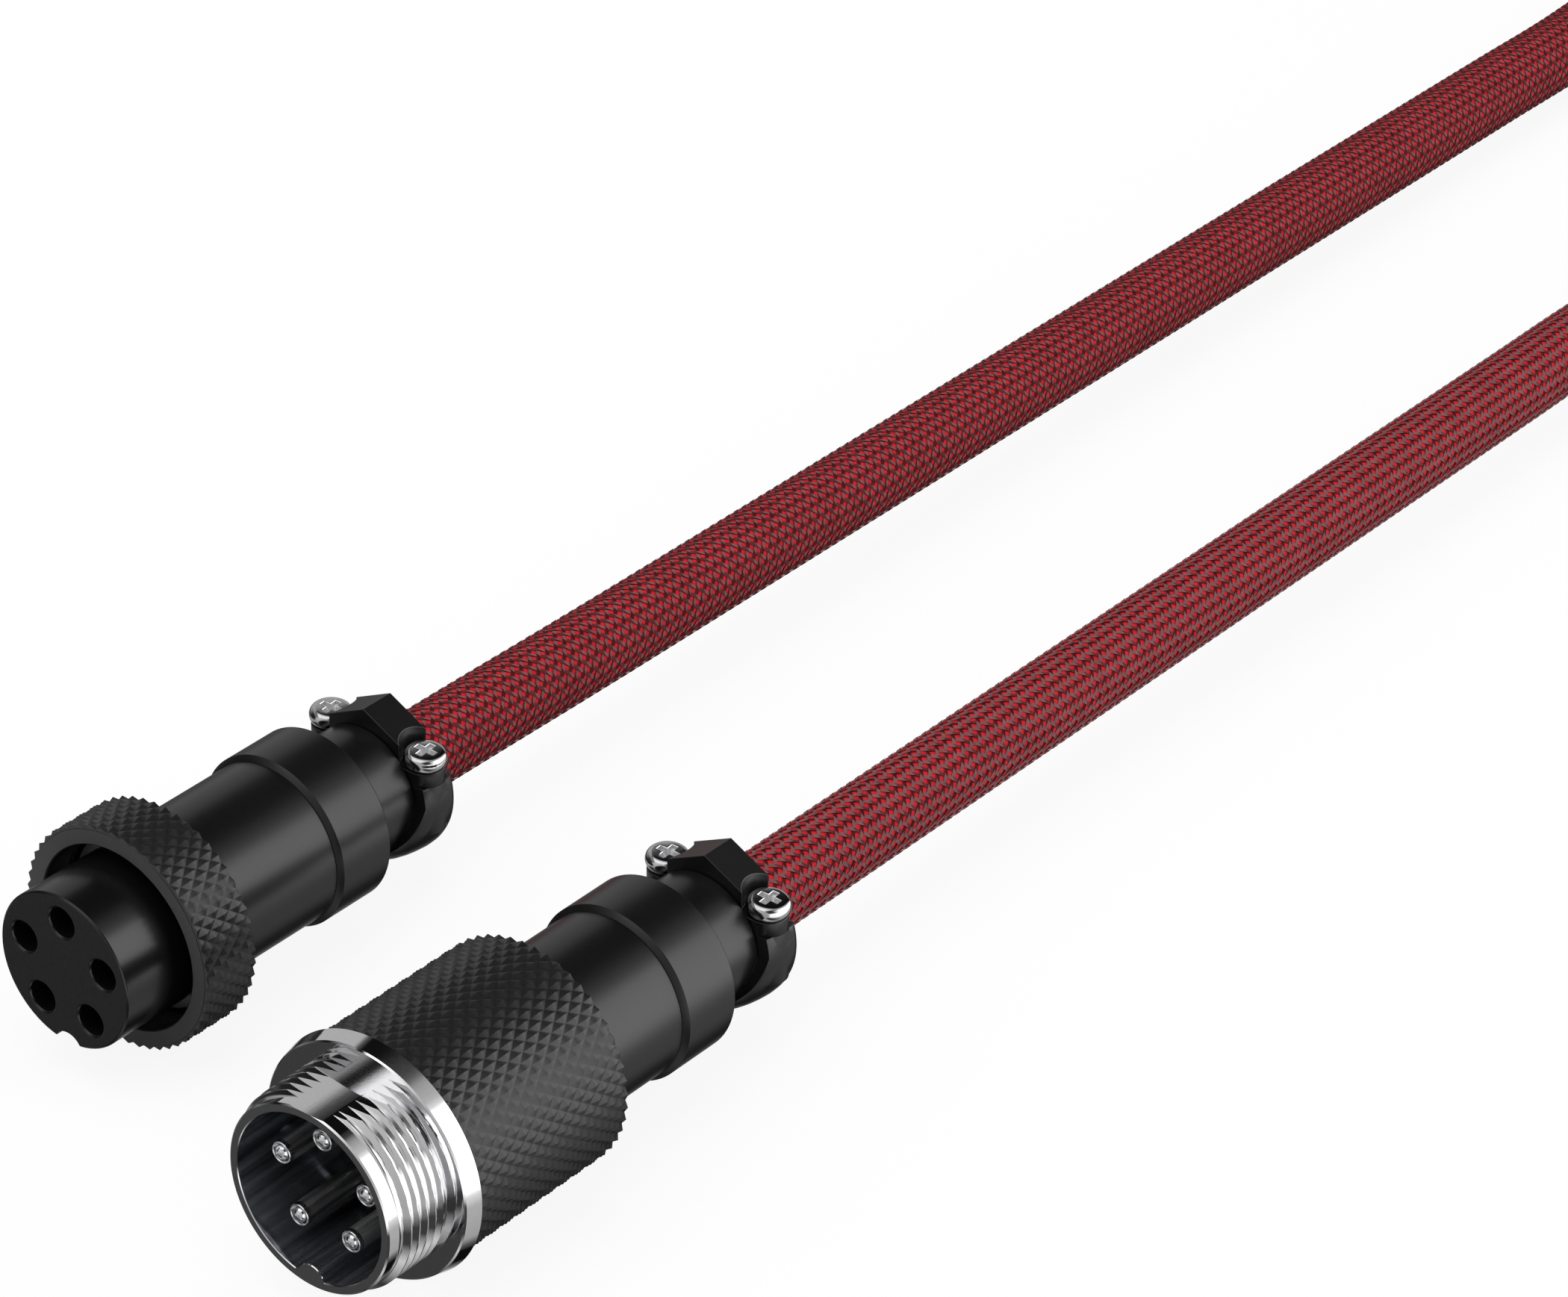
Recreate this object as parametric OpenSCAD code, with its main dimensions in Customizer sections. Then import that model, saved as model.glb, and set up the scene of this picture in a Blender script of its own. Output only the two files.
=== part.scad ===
// Five-pole screw-coupled lead: a socket plug and a pin plug on one braided cord.
// The plugs lie side by side on the surface z = 0, and their shared axis runs along +X,
// tipped down a little towards the cord. The spare cord is wound in a tied hank behind them.

/* [Coupling] */
// Crest diameter of the coupling thread
thread_d = 16; // [15.8:0.1:16.2]
// Diameter of the plain rim in front of the thread, which is also the thread's root
rim_d = 15.1; // [14.9:0.1:15.2]
// Width of the plain rim
rim_w = 1.1; // [0.8:0.1:1.6]
// Length from the front of the threaded shell to its flange
shell_reach = 5.9; // [5.6:0.1:6.4]
// Diameter of the flange behind the thread
flange_d = 19.5; // [19:0.1:20]
// Width of the flange
flange_w = 1.5; // [1.2:0.1:1.8]
// Bore of the threaded shell
shell_bore_d = 13.6; // [13.4:0.1:13.8]
// Depth of the threaded shell's mouth, down to the pin insert
mouth_depth = 9.3; // [9:0.1:10]
// Height of the milled flat above the axis
flat_h = 7.4; // [7.3:0.05:7.5]

/* [Coupling ring] */
// Outside diameter of the coupling ring
ring_d = 18.6; // [18.2:0.1:19]
// Width of the coupling ring
ring_w = 5.2; // [5:0.1:5.6]
// Diameter of the ring's mouth
ring_mouth_d = 15.2; // [15.1:0.05:15.4]
// Running clearance between the ring and its journal, on the radius
ring_clearance = 0.05; // [0.02:0.01:0.1]

/* [Knurling] */
// Grooves round the ring and the sleeve, each way
knurl_count = 51; // [40:1:60]
// Angle of the grooves to the axis
knurl_angle = 37; // [30:1:45]
// Depth of the grooves
knurl_depth = 0.28; // [0.2:0.02:0.5]

/* [Inserts and contacts] */
// Number of contacts
contacts = 5; // [3:1:5]
// Diameter of the circle that the contacts stand on
contact_circle_d = 8.4; // [8.2:0.1:8.6]
// Diameter of a pin
pin_d = 1.8; // [1.6:0.1:1.9]
// Diameter of a socket hole
socket_d = 2.5; // [2.4:0.1:2.6]
// Diameter of the socket insert
insert_d = 12.95; // [12.8:0.05:13]
// Distance from the face of the socket insert to the front of the ring
insert_reach = 5.6; // [5:0.1:6]

/* [Barrels and sleeve] */
// Outside diameter of both barrels
barrel_d = 13.5; // [13.4:0.1:13.6]
// Length from the face of the socket insert to the end of its barrel
plug_barrel_end = 22.4; // [21:0.1:24]
// Length from the rim of the threaded shell to the end of its barrel
male_barrel_end = 32.8; // [32:0.1:35]
// Outside diameter of the knurled sleeve
sleeve_d = 18.65; // [18.2:0.05:18.9]
// Length from the rim of the threaded shell to the end of the knurled sleeve
sleeve_end = 23.7; // [23:0.1:25]

/* [Rear shell and clamp] */
// Diameter of the collar on the rear shell
collar_d = 14.4; // [14.1:0.1:14.5]
// Width of the collar
collar_w = 5.7; // [5.4:0.1:6]
// Diameter of the neck
neck_d = 10.4; // [10.2:0.1:10.6]
// Length from the front of the rear shell to the front of the saddle
clamp_start = 10.6; // [10.4:0.1:11]
// Width of the clamp along the cord
clamp_w = 3.15; // [3:0.05:3.4]
// Height of the saddle's ridge above the axis
ridge_h = 6.85; // [6.4:0.05:7]
// Distance from the axis to each clamp screw
screw_offset = 4.85; // [4.8:0.05:5]
// Thread diameter of the clamp screws
screw_d = 2; // [1.8:0.1:2]
// Head diameter of the clamp screws
screw_head_d = 3.6; // [3.4:0.1:3.8]

/* [Cord] */
// Diameter of the braided cord
cord_d = 6.7; // [6.5:0.1:6.7]
// Length of the straight runs of the hank that the spare cord is wound into
hank_run = 75; // [70:1:80]
// Width of the tie round the hank
tie_w = 12; // [8:1:14]

/* [Layout] */
// Distance between the axes of the two plugs
axis_gap = 33.1; // [30:0.1:36]
// How far the threaded shell's rim stands in front of the socket insert's face
stagger = 9.5; // [8:0.1:11]

/* [Hidden] */

$fn = 96;

// Finishes
anodised_black = [0.06, 0.06, 0.065];
moulded_black = [0.045, 0.045, 0.05];
polished_chrome = [0.82, 0.83, 0.85];
dark_chrome = [0.5, 0.51, 0.53];
braid_red = [0.62, 0.1, 0.13];
contact_gold = [0.83, 0.68, 0.35];
clear_film = [0.85, 0.86, 0.82];
core_colour = [0.85, 0.85, 0.85];
strap_black = [0.08, 0.08, 0.08];

// Radii that the pieces share
barrel_r = barrel_d / 2;
barrel_bore_r = 5.7;
journal_r = 6.35;
knurl_step = 0.05;
clip_groove_r = 6.1;
clip_r = 7.3;
spigot_r = 6.2;
spigot_len = 4.6;
shell_spigot_r = 7.9;
collar_r = collar_d / 2;
neck_r = neck_d / 2;
neck_bore_r = 3.4;
cord_r = cord_d / 2;
channel_r = 3.36;
contact_circle_r = contact_circle_d / 2;
cup_len = 3.6;

// Stations along the socket plug, from the face of its insert
ring_front = insert_reach;
ring_rear = ring_front + ring_w;
mouth_end = ring_front + 2.6;
slit_w = 0.35;
web_front = ring_rear - 1.3;
clip_front = web_front - 0.75;
clip_w = 0.6;
journal_front = 8;
shoulder = ring_rear + 0.1;
insert_end = 15;

// Stations along the pin plug, from the rim of its shell
flange_end = shell_reach + flange_w;
shell_end = 12.4;
pin_flange_end = 13.4;
pin_root_r = 1.15;
barrel_flange_end = 14.4;
pin_tip = 1.3;
pin_collar_w = 0.8;

// Rear shell and clamp, from the front of the rear shell
collar_edge = 0.3;
jaw_r = 6.5;
jaw_end = 13.95;
clamp_mid = clamp_start + clamp_w / 2;
clamp_end = clamp_start + clamp_w;
ear_r = clamp_w / 2;
ear_top = 3.1;
split_h = 1.9;
roof_slope = 0.5;
pocket_r = 2;
cord_start = 8;

// The plugs lie on the flange and on the sleeve's rear edge, which tips their axes
tip = atan((flange_d - sleeve_d) / 2 / (sleeve_end - flange_end));
mid_y = (flange_d - ring_d) / 4;
plug_at = [-13.825, mid_y + axis_gap / 2, ring_d / 2 * cos(tip) + ring_rear * sin(tip)];
male_at = [plug_at.x - stagger, mid_y - axis_gap / 2, flange_d / 2 * cos(tip) + flange_end * sin(tip)];

// Cord routes: first along the plug's own axis, at these distances from its datum, and then
// over the surface through points that are chosen by hand
plug_sag = 0.2;
sag_start = 37;
sag_run = 27;
plug_straight = [plug_barrel_end + cord_start, 37, 46, 55, 64, 82, 100, 118, 136, 154, 172, 190, 202];
plug_bend = [[198, 17.6, 3.9], [208, 20.2, 4.1], [218, 23.6, 4.7], [228, 26.4, 5.8], [238, 27.7, 7.4],
             [248, 28, 9.2], [257, 28, 10.6], [266, 28, 11.3], [276, 28, 11.3]];
male_straight = [male_barrel_end + cord_start, 56, 72, 88, 104, 120, 136, 152, 164];
male_bend = [[152, -16.8, 5.2], [166, -17.8, 4.8], [180, -20.1, 4.4], [194, -23.2, 4.1], [208, -26.1, 4],
             [222, -27.6, 4], [236, -28, 4], [250, -28, 4]];
run_sides = 10;
core_sides = 6;

// Hank: the cord goes round in an oval, in lanes that lie beside and on each other. Each bend has
// a lane [column, layer], and the run after it takes the cord over to the lane of the next bend.
hank_at = [238, 0, 4];
hank_r = 20.6;
lane_gap = 7.4;
bend_lanes = [[1, 0], [0, 0], [0, 0], [0, 1], [0, 1], [0, 2], [1, 1]];
move_share = 0.6;
swing_run = 5;
swing_end = 0.7;
bend_step = 15;
run_steps = 10;
hank_sides = 6;
tie_place = 0.86;
tie_clearance = 0.1;
tie_t = 0.5;

// ---------------------------------------------------------------- places and shapes

module at_plug() {
    translate(plug_at) rotate([0, tip, 0]) children();
}

module at_male() {
    translate(male_at) rotate([0, tip, 0]) children();
}

// A turned piece about the plug's axis: the points are [radius, station]
module turned(points) {
    rotate([0, 90, 0]) rotate_extrude() polygon(points);
}

module rod(radius, from, to) {
    translate([from, 0, 0]) rotate([0, 90, 0]) cylinder(r = radius, h = to - from);
}

// A knurled band. Two sets of grooves cross, so a grid laid along and round it has alternately
// a pyramid's tip and a corner where grooves meet, and each cell is folded along its groove.
// The band is hollow, and its inside lies within the wall of the tube that it is put on.
module knurled_band(tip_r, inner_r, from, to) {
    cols = 2 * knurl_count;
    half_pitch = PI * tip_r / knurl_count / tan(knurl_angle);
    rows = round((to - from) / half_pitch);
    outside = [for (j = [0 : rows], i = [0 : cols - 1])
        let (r = (i + j) % 2 == 0 ? tip_r : tip_r - knurl_depth, a = 360 * i / cols)
        [from + (to - from) * j / rows, r * sin(a), r * cos(a)]];
    inside = [for (x = [from, to], i = [0 : cols - 1])
        let (a = 360 * i / cols) [x, inner_r * sin(a), inner_r * cos(a)]];
    skin = [for (j = [0 : rows - 1], i = [0 : cols - 1])
        let (p = j * cols + i, q = j * cols + (i + 1) % cols)
        each (i + j) % 2 == 0
            ? [[p, q, p + cols], [q, q + cols, p + cols]]
            : [[p, q + cols, p + cols], [p, q, q + cols]]];
    ends = [for (i = [0 : cols - 1])
        let (next = (i + 1) % cols, last = rows * cols, f = last + cols, b = f + cols)
        each [
            [i, f + i, next], [next, f + i, f + next],
            [last + i, last + next, b + i], [last + next, b + next, b + i],
            [f + i, b + i, f + next], [f + next, b + i, b + next]
        ]];
    polyhedron(concat(outside, inside), concat(skin, ends));
}

// Repeats its children round the axis, the first of them uppermost
module on_contact_circle() {
    for (k = [0 : contacts - 1])
        rotate([360 * k / contacts, 0, 0]) translate([0, 0, contact_circle_r]) children();
}

module both_sides() {
    for (side = [-1, 1])
        translate([clamp_mid, side * screw_offset, 0]) children();
}

// ---------------------------------------------------------------- socket plug

module coupling_ring() {
    bore = journal_r + ring_clearance;
    mouth_r = ring_mouth_d / 2;
    relief_r = thread_d / 2 + 0.05;
    core_r = ring_d / 2 - knurl_depth - 0.1;
    edge = 0.12;
    at_plug() color(anodised_black) {
        knurled_band(ring_d / 2, core_r - 0.25, ring_front + knurl_step, ring_rear - knurl_step);
        turned([
            [mouth_r + edge, ring_front],
            [core_r, ring_front],
            [core_r, ring_rear],
            [bore, ring_rear],
            [bore, web_front],
            [mouth_r, web_front],
            [mouth_r, mouth_end + slit_w],
            [relief_r, mouth_end + slit_w],
            [relief_r, mouth_end],
            [mouth_r, mouth_end],
            [mouth_r, ring_front + edge]
        ]);
    }
}

module ring_clip() {
    gap = 2.4;
    at_plug() color(dark_chrome) difference() {
        turned([
            [clip_groove_r, clip_front],
            [clip_r, clip_front],
            [clip_r, clip_front + clip_w],
            [clip_groove_r, clip_front + clip_w]
        ]);
        translate([clip_front - 1, -gap / 2, 0]) cube([clip_w + 2, gap, clip_r + 1]);
    }
}

module socket_insert() {
    groove_r = 1.4;
    groove_h = 6.95;
    edge = 0.15;
    seat_r = 1.15;
    seat_start = 2.4;
    at_plug() color(moulded_black) difference() {
        turned([
            [0, 0],
            [insert_d / 2 - edge, 0],
            [insert_d / 2, edge],
            [insert_d / 2, journal_front],
            [barrel_bore_r, journal_front],
            [barrel_bore_r, insert_end],
            [0, insert_end]
        ]);
        on_contact_circle() {
            rotate([0, 90, 0]) cylinder(r1 = socket_d / 2 + edge, r2 = socket_d / 2, h = edge);
            rod(socket_d / 2, -1, seat_start);
            rod(seat_r, seat_start - 1, insert_end + 1);
        }
        translate([0, 0, -groove_h]) rod(groove_r, -1, journal_front);
    }
}

// One contact: a body with a socket or a pin in front and a solder cup behind
module solder_cup(from, radius) {
    cup_bore_r = 0.75;
    difference() {
        rod(radius, from, from + cup_len);
        rod(cup_bore_r, from + 0.8, from + cup_len + 1);
        translate([from + 1.6, -radius - 1, 0.1]) cube([cup_len, 2 * radius + 2, radius + 1]);
    }
}

module socket_contacts() {
    body_r = 1.15;
    body_front = 2.4;
    socket_depth = 8;
    at_plug() color(contact_gold) on_contact_circle() {
        difference() {
            rod(body_r, body_front, insert_end);
            rod(pin_d / 2 + 0.04, body_front - 1, body_front + socket_depth);
        }
        solder_cup(insert_end, body_r);
    }
}

module plug_barrel() {
    at_plug() color(anodised_black) turned([
        [barrel_bore_r, journal_front],
        [journal_r, journal_front],
        [journal_r, clip_front],
        [clip_groove_r, clip_front],
        [clip_groove_r, clip_front + clip_w],
        [journal_r, clip_front + clip_w],
        [journal_r, shoulder],
        [barrel_r, shoulder],
        [barrel_r, plug_barrel_end],
        [spigot_r, plug_barrel_end],
        [spigot_r, plug_barrel_end + spigot_len],
        [barrel_bore_r, plug_barrel_end + spigot_len]
    ]);
}

// ---------------------------------------------------------------- rear shell and clamp

// The flared outside of the lower jaw, from the neck to the rounded rear edge
function jaw_flare() = [
    [neck_r, 8], [neck_r + 0.12, 8.5], [neck_r + 0.36, 9], [neck_r + 0.68, 9.5],
    [neck_r + 0.95, 10.2], [neck_r + 1.13, 11], [jaw_r - 0.06, 11.8], [jaw_r, 12.6],
    [jaw_r - 0.03, 13.3], [jaw_r - 0.15, 13.7], [jaw_r - 0.4, jaw_end]
];

// Outline of the clamp seen from above: a bar with round ends about the two screws
module clamp_plan() {
    translate([clamp_start, -screw_offset]) square([clamp_w, 2 * screw_offset]);
    for (side = [-1, 1])
        translate([clamp_mid, side * screw_offset]) circle(r = ear_r);
}

module lower_jaw() {
    lean_h = 0.3;
    foot_h = -5.6;
    foot_x = 8;
    low = -jaw_r - 1;
    intersection() {
        turned(concat([[neck_bore_r, 8]], jaw_flare(), [[neck_bore_r, jaw_end]]));
        translate([0, jaw_r + 1, 0]) rotate([90, 0, 0]) linear_extrude(2 * jaw_r + 2) polygon([
            [clamp_start, split_h], [clamp_start, lean_h], [foot_x, foot_h], [foot_x, low],
            [jaw_end, low], [jaw_end, 0], [clamp_end, split_h]
        ]);
    }
    difference() {
        translate([0, 0, -2.4]) linear_extrude(split_h + 2.4) clamp_plan();
        rod(neck_bore_r + 1, clamp_start - 1, clamp_end + 1);
    }
}

module rear_shell() {
    edge = 0.25;
    color(anodised_black) difference() {
        union() {
            turned([
                [spigot_r, 0],
                [barrel_r, 0],
                [collar_r, collar_edge + 0.05],
                [collar_r, collar_w - edge],
                [collar_r - edge, collar_w],
                [neck_r, collar_w],
                [neck_r, clamp_start - 0.1],
                [neck_bore_r, clamp_start - 0.1],
                [neck_bore_r, spigot_len + 0.6],
                [spigot_r, spigot_len + 0.6]
            ]);
            lower_jaw();
        }
        rod(channel_r, cord_start - 1, clamp_end + 1);
        both_sides() translate([0, 0, -1.6]) cylinder(d = screw_d, h = 5);
    }
}

module saddle() {
    hole_play = 0.1;
    shoulder_y = screw_offset + ear_r;
    color(anodised_black) difference() {
        intersection() {
            translate([clamp_start, 0, 0]) rotate([90, 0, 90]) linear_extrude(clamp_w) polygon([
                [-shoulder_y, split_h], [shoulder_y, split_h],
                [shoulder_y, ridge_h - roof_slope * shoulder_y], [0, ridge_h],
                [-shoulder_y, ridge_h - roof_slope * shoulder_y]
            ]);
            linear_extrude(ridge_h + 1) clamp_plan();
        }
        rod(channel_r, clamp_start - 1, clamp_end + 1);
        both_sides() {
            translate([0, 0, ear_top]) cylinder(r = pocket_r, h = ridge_h);
            cylinder(d = screw_d + 2 * hole_play, h = ridge_h);
        }
    }
}

// A pan head with a domed side and a cross recess, on a plain shank
module clamp_screw() {
    head_h = 1.45;
    head_r = screw_head_d / 2;
    top_r = 1.3;
    slot_w = 0.46;
    slot_r = 0.95;
    slot_depth = 0.7;
    shank_end = -1.5;
    difference() {
        union() {
            rotate_extrude() polygon([
                [0, ear_top], [head_r - 0.15, ear_top], [head_r, ear_top + 0.25],
                [head_r, ear_top + 0.65], [head_r - 0.1, ear_top + 1.05],
                [top_r, ear_top + head_h], [0, ear_top + head_h]
            ]);
            translate([0, 0, shank_end]) cylinder(d = screw_d, h = ear_top - shank_end);
        }
        for (turn = [45, 135])
            rotate([0, 0, turn]) translate([-slot_r, -slot_w / 2, ear_top + head_h - slot_depth])
                cube([2 * slot_r, slot_w, 1]);
    }
}

module clamp_screws() {
    color(dark_chrome) both_sides() clamp_screw();
}

module insulator(length) {
    wall = 0.25;
    gap = 0.1;
    color(clear_film) turned([
        [barrel_bore_r - gap - wall, 0],
        [barrel_bore_r - gap, 0],
        [barrel_bore_r - gap, length],
        [barrel_bore_r - gap - wall, length]
    ]);
}

// Insulated cores: straight out of the solder cups, then drawn together into the cord
module core_wires(from, bend, to) {
    core_r = 0.55;
    cord_circle_r = 1.6;
    drop = contact_circle_r - cord_circle_r;
    route = concat([[from, 0, 0]], [for (t = [0 : 0.2 : 1]) [bend + (to - bend) * t, 0, -drop * ease(t)]]);
    color(core_colour) on_contact_circle() tube(route, [1, 0, 0], [1, 0, 0], core_r, core_sides);
}

module plug_rear_shell() {
    at_plug() translate([plug_barrel_end, 0, 0]) rear_shell();
}

module plug_saddle() {
    at_plug() translate([plug_barrel_end, 0, 0]) saddle();
}

module plug_clamp_screws() {
    at_plug() translate([plug_barrel_end, 0, 0]) clamp_screws();
}

module plug_insulator() {
    at_plug() translate([insert_end, 0, 0]) insulator(plug_barrel_end + spigot_len - insert_end);
}

module plug_core_wires() {
    at_plug() core_wires(insert_end + 1.2, insert_end + cup_len + 0.6, plug_barrel_end + cord_start);
}

// ---------------------------------------------------------------- pin plug

module threaded_shell() {
    key_r = 1.25;
    key_h = 6.95;
    edge = 0.12;
    relief_w = 0.6;
    taper = 0.3;
    bore_r = shell_bore_d / 2;
    at_male() color(polished_chrome) {
        difference() {
            turned([
                [bore_r, 0],
                [rim_d / 2 - edge, 0],
                [rim_d / 2, edge],
                [rim_d / 2, rim_w],
                [thread_d / 2, rim_w + 0.45],
                [thread_d / 2, shell_reach - relief_w - 0.3],
                [rim_d / 2, shell_reach - relief_w],
                [rim_d / 2, shell_reach],
                [flange_d / 2 - taper - edge, shell_reach],
                [flange_d / 2 - taper, shell_reach + edge],
                [flange_d / 2, flange_end],
                [shell_spigot_r, flange_end],
                [shell_spigot_r, shell_end],
                [bore_r, shell_end]
            ]);
            translate([-1, -thread_d / 2, flat_h]) cube([shell_reach + 1, thread_d, 2]);
        }
        intersection() {
            translate([0, 0, -key_h]) rod(key_r, 0, mouth_depth);
            rod(bore_r + 0.2, 0, mouth_depth);
        }
    }
}

module pin_insert() {
    at_male() color(moulded_black) difference() {
        turned([
            [0, mouth_depth],
            [shell_bore_d / 2, mouth_depth],
            [shell_bore_d / 2, shell_end],
            [shell_spigot_r, shell_end],
            [shell_spigot_r, pin_flange_end],
            [0, pin_flange_end]
        ]);
        on_contact_circle() rod(pin_root_r, mouth_depth - 1, pin_flange_end + 1);
    }
}

module contact_pins() {
    dome = 0.55;
    point_r = 0.4;
    shoulder_w = 0.3;
    pin_collar_r = 1.25;
    at_male() color(polished_chrome) on_contact_circle() {
        turned([
            [0, pin_tip],
            [point_r, pin_tip],
            [pin_d / 2 - 0.18, pin_tip + 0.2],
            [pin_d / 2, pin_tip + dome],
            [pin_d / 2, mouth_depth - shoulder_w],
            [pin_root_r, mouth_depth - shoulder_w],
            [pin_root_r, pin_flange_end],
            [pin_collar_r, pin_flange_end],
            [pin_collar_r, pin_flange_end + pin_collar_w],
            [0, pin_flange_end + pin_collar_w]
        ]);
        solder_cup(pin_flange_end + pin_collar_w, 1.1);
    }
}

module knurled_sleeve() {
    core_r = sleeve_d / 2 - knurl_depth - 0.1;
    at_male() color(anodised_black) {
        knurled_band(sleeve_d / 2, core_r - 0.25, flange_end + knurl_step, sleeve_end - knurl_step);
        turned([
            [shell_spigot_r, flange_end],
            [core_r, flange_end],
            [core_r, sleeve_end],
            [barrel_r, sleeve_end],
            [barrel_r, barrel_flange_end],
            [shell_spigot_r, barrel_flange_end]
        ]);
    }
}

module male_barrel() {
    at_male() color(anodised_black) turned([
        [barrel_bore_r, pin_flange_end],
        [shell_spigot_r, pin_flange_end],
        [shell_spigot_r, barrel_flange_end],
        [barrel_r, barrel_flange_end],
        [barrel_r, male_barrel_end],
        [spigot_r, male_barrel_end],
        [spigot_r, male_barrel_end + spigot_len],
        [barrel_bore_r, male_barrel_end + spigot_len]
    ]);
}

module male_rear_shell() {
    at_male() translate([male_barrel_end, 0, 0]) rear_shell();
}

module male_saddle() {
    at_male() translate([male_barrel_end, 0, 0]) saddle();
}

module male_clamp_screws() {
    at_male() translate([male_barrel_end, 0, 0]) clamp_screws();
}

module male_insulator() {
    at_male() translate([barrel_flange_end, 0, 0])
        insulator(male_barrel_end + spigot_len - barrel_flange_end);
}

module male_core_wires() {
    cup_start = pin_flange_end + pin_collar_w;
    at_male() core_wires(cup_start + 1.2, cup_start + cup_len + 0.6, male_barrel_end + cord_start);
}

// ---------------------------------------------------------------- cord

function unit(v) = v / norm(v);
function along(at, s) = at + s * [cos(tip), 0, -sin(tip)];
function last_of(list) = list[len(list) - 1];

// One ring of a tube: corners round point p, square to the heading t
function tube_ring(p, t, r, sides) =
    let (across = unit(cross(t, [0, 0, 1])), up = cross(across, t))
    [for (k = [0 : sides - 1]) let (a = 360 * (k + 0.5) / sides) p + r * (cos(a) * across + sin(a) * up)];

// Heading of a route at point i, with the given headings at its two ends
function heading(route, i, first, last) =
    i == 0 ? first :
    i == len(route) - 1 ? last :
    unit(unit(route[i + 1] - route[i]) + unit(route[i] - route[i - 1]));

module tube(route, first, last, r, sides) {
    rings = len(route);
    corners = [for (i = [0 : rings - 1]) each tube_ring(route[i], heading(route, i, first, last), r, sides)];
    skin = [for (i = [0 : rings - 2], k = [0 : sides - 1])
        let (a = i * sides + k, b = i * sides + (k + 1) % sides)
        each [[a, b, b + sides], [a, b + sides, a + sides]]];
    front = [for (k = [1 : sides - 2]) [0, k + 1, k]];
    end = (rings - 1) * sides;
    back = [for (k = [1 : sides - 2]) [end, end + k, end + k + 1]];
    polyhedron(corners, concat(skin, front, back));
}

axis_heading = [cos(tip), 0, -sin(tip)];
function sag(s) = plug_sag * ease(min(1, max(0, (s - sag_start) / sag_run)));
plug_route = concat([for (s = plug_straight) along(plug_at, s) - [0, 0, sag(s)]], plug_bend);
male_route = concat([for (s = male_straight) along(male_at, s)], male_bend);

module plug_side_cord() {
    color(braid_red) tube(plug_route, axis_heading, [1, 0, 0], cord_r, run_sides);
}

module male_side_cord() {
    color(braid_red) tube(male_route, axis_heading, [1, 0, 0], cord_r, run_sides);
}

function ease(x) = x * x * (3 - 2 * x);

// Lane of run k at fraction t of its length. A cord that climbs does so early in the run, and the
// first one moves in under it later. The last but one swings down round the cord beneath it.
function run_lane(k, t) =
    k == 0 ? [1 - ease(max(0, (t - 1 + move_share) / move_share)), 0] :
    k == swing_run ? let (swing = 90 * ease(min(1, t / swing_end))) [sin(swing), 1 + cos(swing)] :
    bend_lanes[k] + (bend_lanes[k + 1] - bend_lanes[k]) * ease(min(1, t / move_share));

// Bends are on the far side and the near side in turn, and the runs on the left and the right
function side_of(k) = k % 2 == 0 ? 1 : -1;
function bend_points(k) =
    let (side = side_of(k), r = hank_r + lane_gap * bend_lanes[k].x, z = lane_gap * bend_lanes[k].y)
    [for (a = [0 : bend_step : 180])
        hank_at + [max(0, side) * hank_run + side * r * sin(a), -side * r * cos(a), z]];
function run_points(k) = [for (i = [1 : run_steps - 1])
    let (side = side_of(k), t = i / run_steps, lane = run_lane(k, t))
    hank_at + [hank_run * (side > 0 ? 1 - t : t), side * (hank_r + lane_gap * lane.x), lane_gap * lane.y]];
last_bend = len(bend_lanes) - 1;
hank_points = [for (k = [0 : last_bend]) each concat(bend_points(k), k < last_bend ? run_points(k) : [])];
hank_route = concat([last_of(male_route)], hank_points, [last_of(plug_route)]);

// Least gap between one turn and another, on the centre points of the hank
function least_gap(points, skip) = min([
    for (i = [0 : len(points) - 1], j = [i + skip : 1 : len(points) - 1]) norm(points[i] - points[j])
]) - cord_d;
echo(hank_least_gap = least_gap(hank_points, 8));

function route_length(route) = norm_sum([for (i = [1 : len(route) - 1]) norm(route[i] - route[i - 1])]);
function norm_sum(list) = list * [for (v = list) 1];
echo(cord_length = route_length(plug_route) + route_length(hank_route) + route_length(male_route));

module cord_hank() {
    color(braid_red) tube(hank_route, [1, 0, 0], [-1, 0, 0], cord_r, hank_sides);
}

// The tie is drawn round the four runs on one side, where they lie two on two
module hank_tie() {
    middle = hank_at + [tie_place * hank_run, -hank_r - lane_gap / 2, lane_gap / 2];
    module wrapped(reach) {
        hull() for (y = [-0.5, 0.5] * lane_gap, z = [-0.5, 0.5] * lane_gap)
            translate([y, z]) circle(r = cord_r + reach, $fn = 32);
    }
    color(strap_black) translate(middle) rotate([90, 0, 90]) translate([0, 0, -tie_w / 2])
        linear_extrude(tie_w) difference() {
            wrapped(tie_clearance + tie_t);
            wrapped(tie_clearance);
        }
}

coupling_ring();
ring_clip();
socket_insert();
socket_contacts();
plug_barrel();
plug_rear_shell();
plug_insulator();
plug_core_wires();
plug_saddle();
plug_clamp_screws();
threaded_shell();
pin_insert();
contact_pins();
knurled_sleeve();
male_barrel();
male_rear_shell();
male_insulator();
male_core_wires();
male_saddle();
male_clamp_screws();
plug_side_cord();
cord_hank();
male_side_cord();
hank_tie();
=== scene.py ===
"""Dresses a five-pole screw-coupled lead: a socket plug and a pin plug on one braided cord.

The plugs lie side by side on the surface, and the spare cord is wound in a tied hank behind them.
"""

from __future__ import annotations

import logging
import math
from dataclasses import dataclass
from enum import Enum, IntEnum
from typing import Callable, Sequence

import bmesh
import bpy
from mathutils import Matrix, Vector


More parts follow.
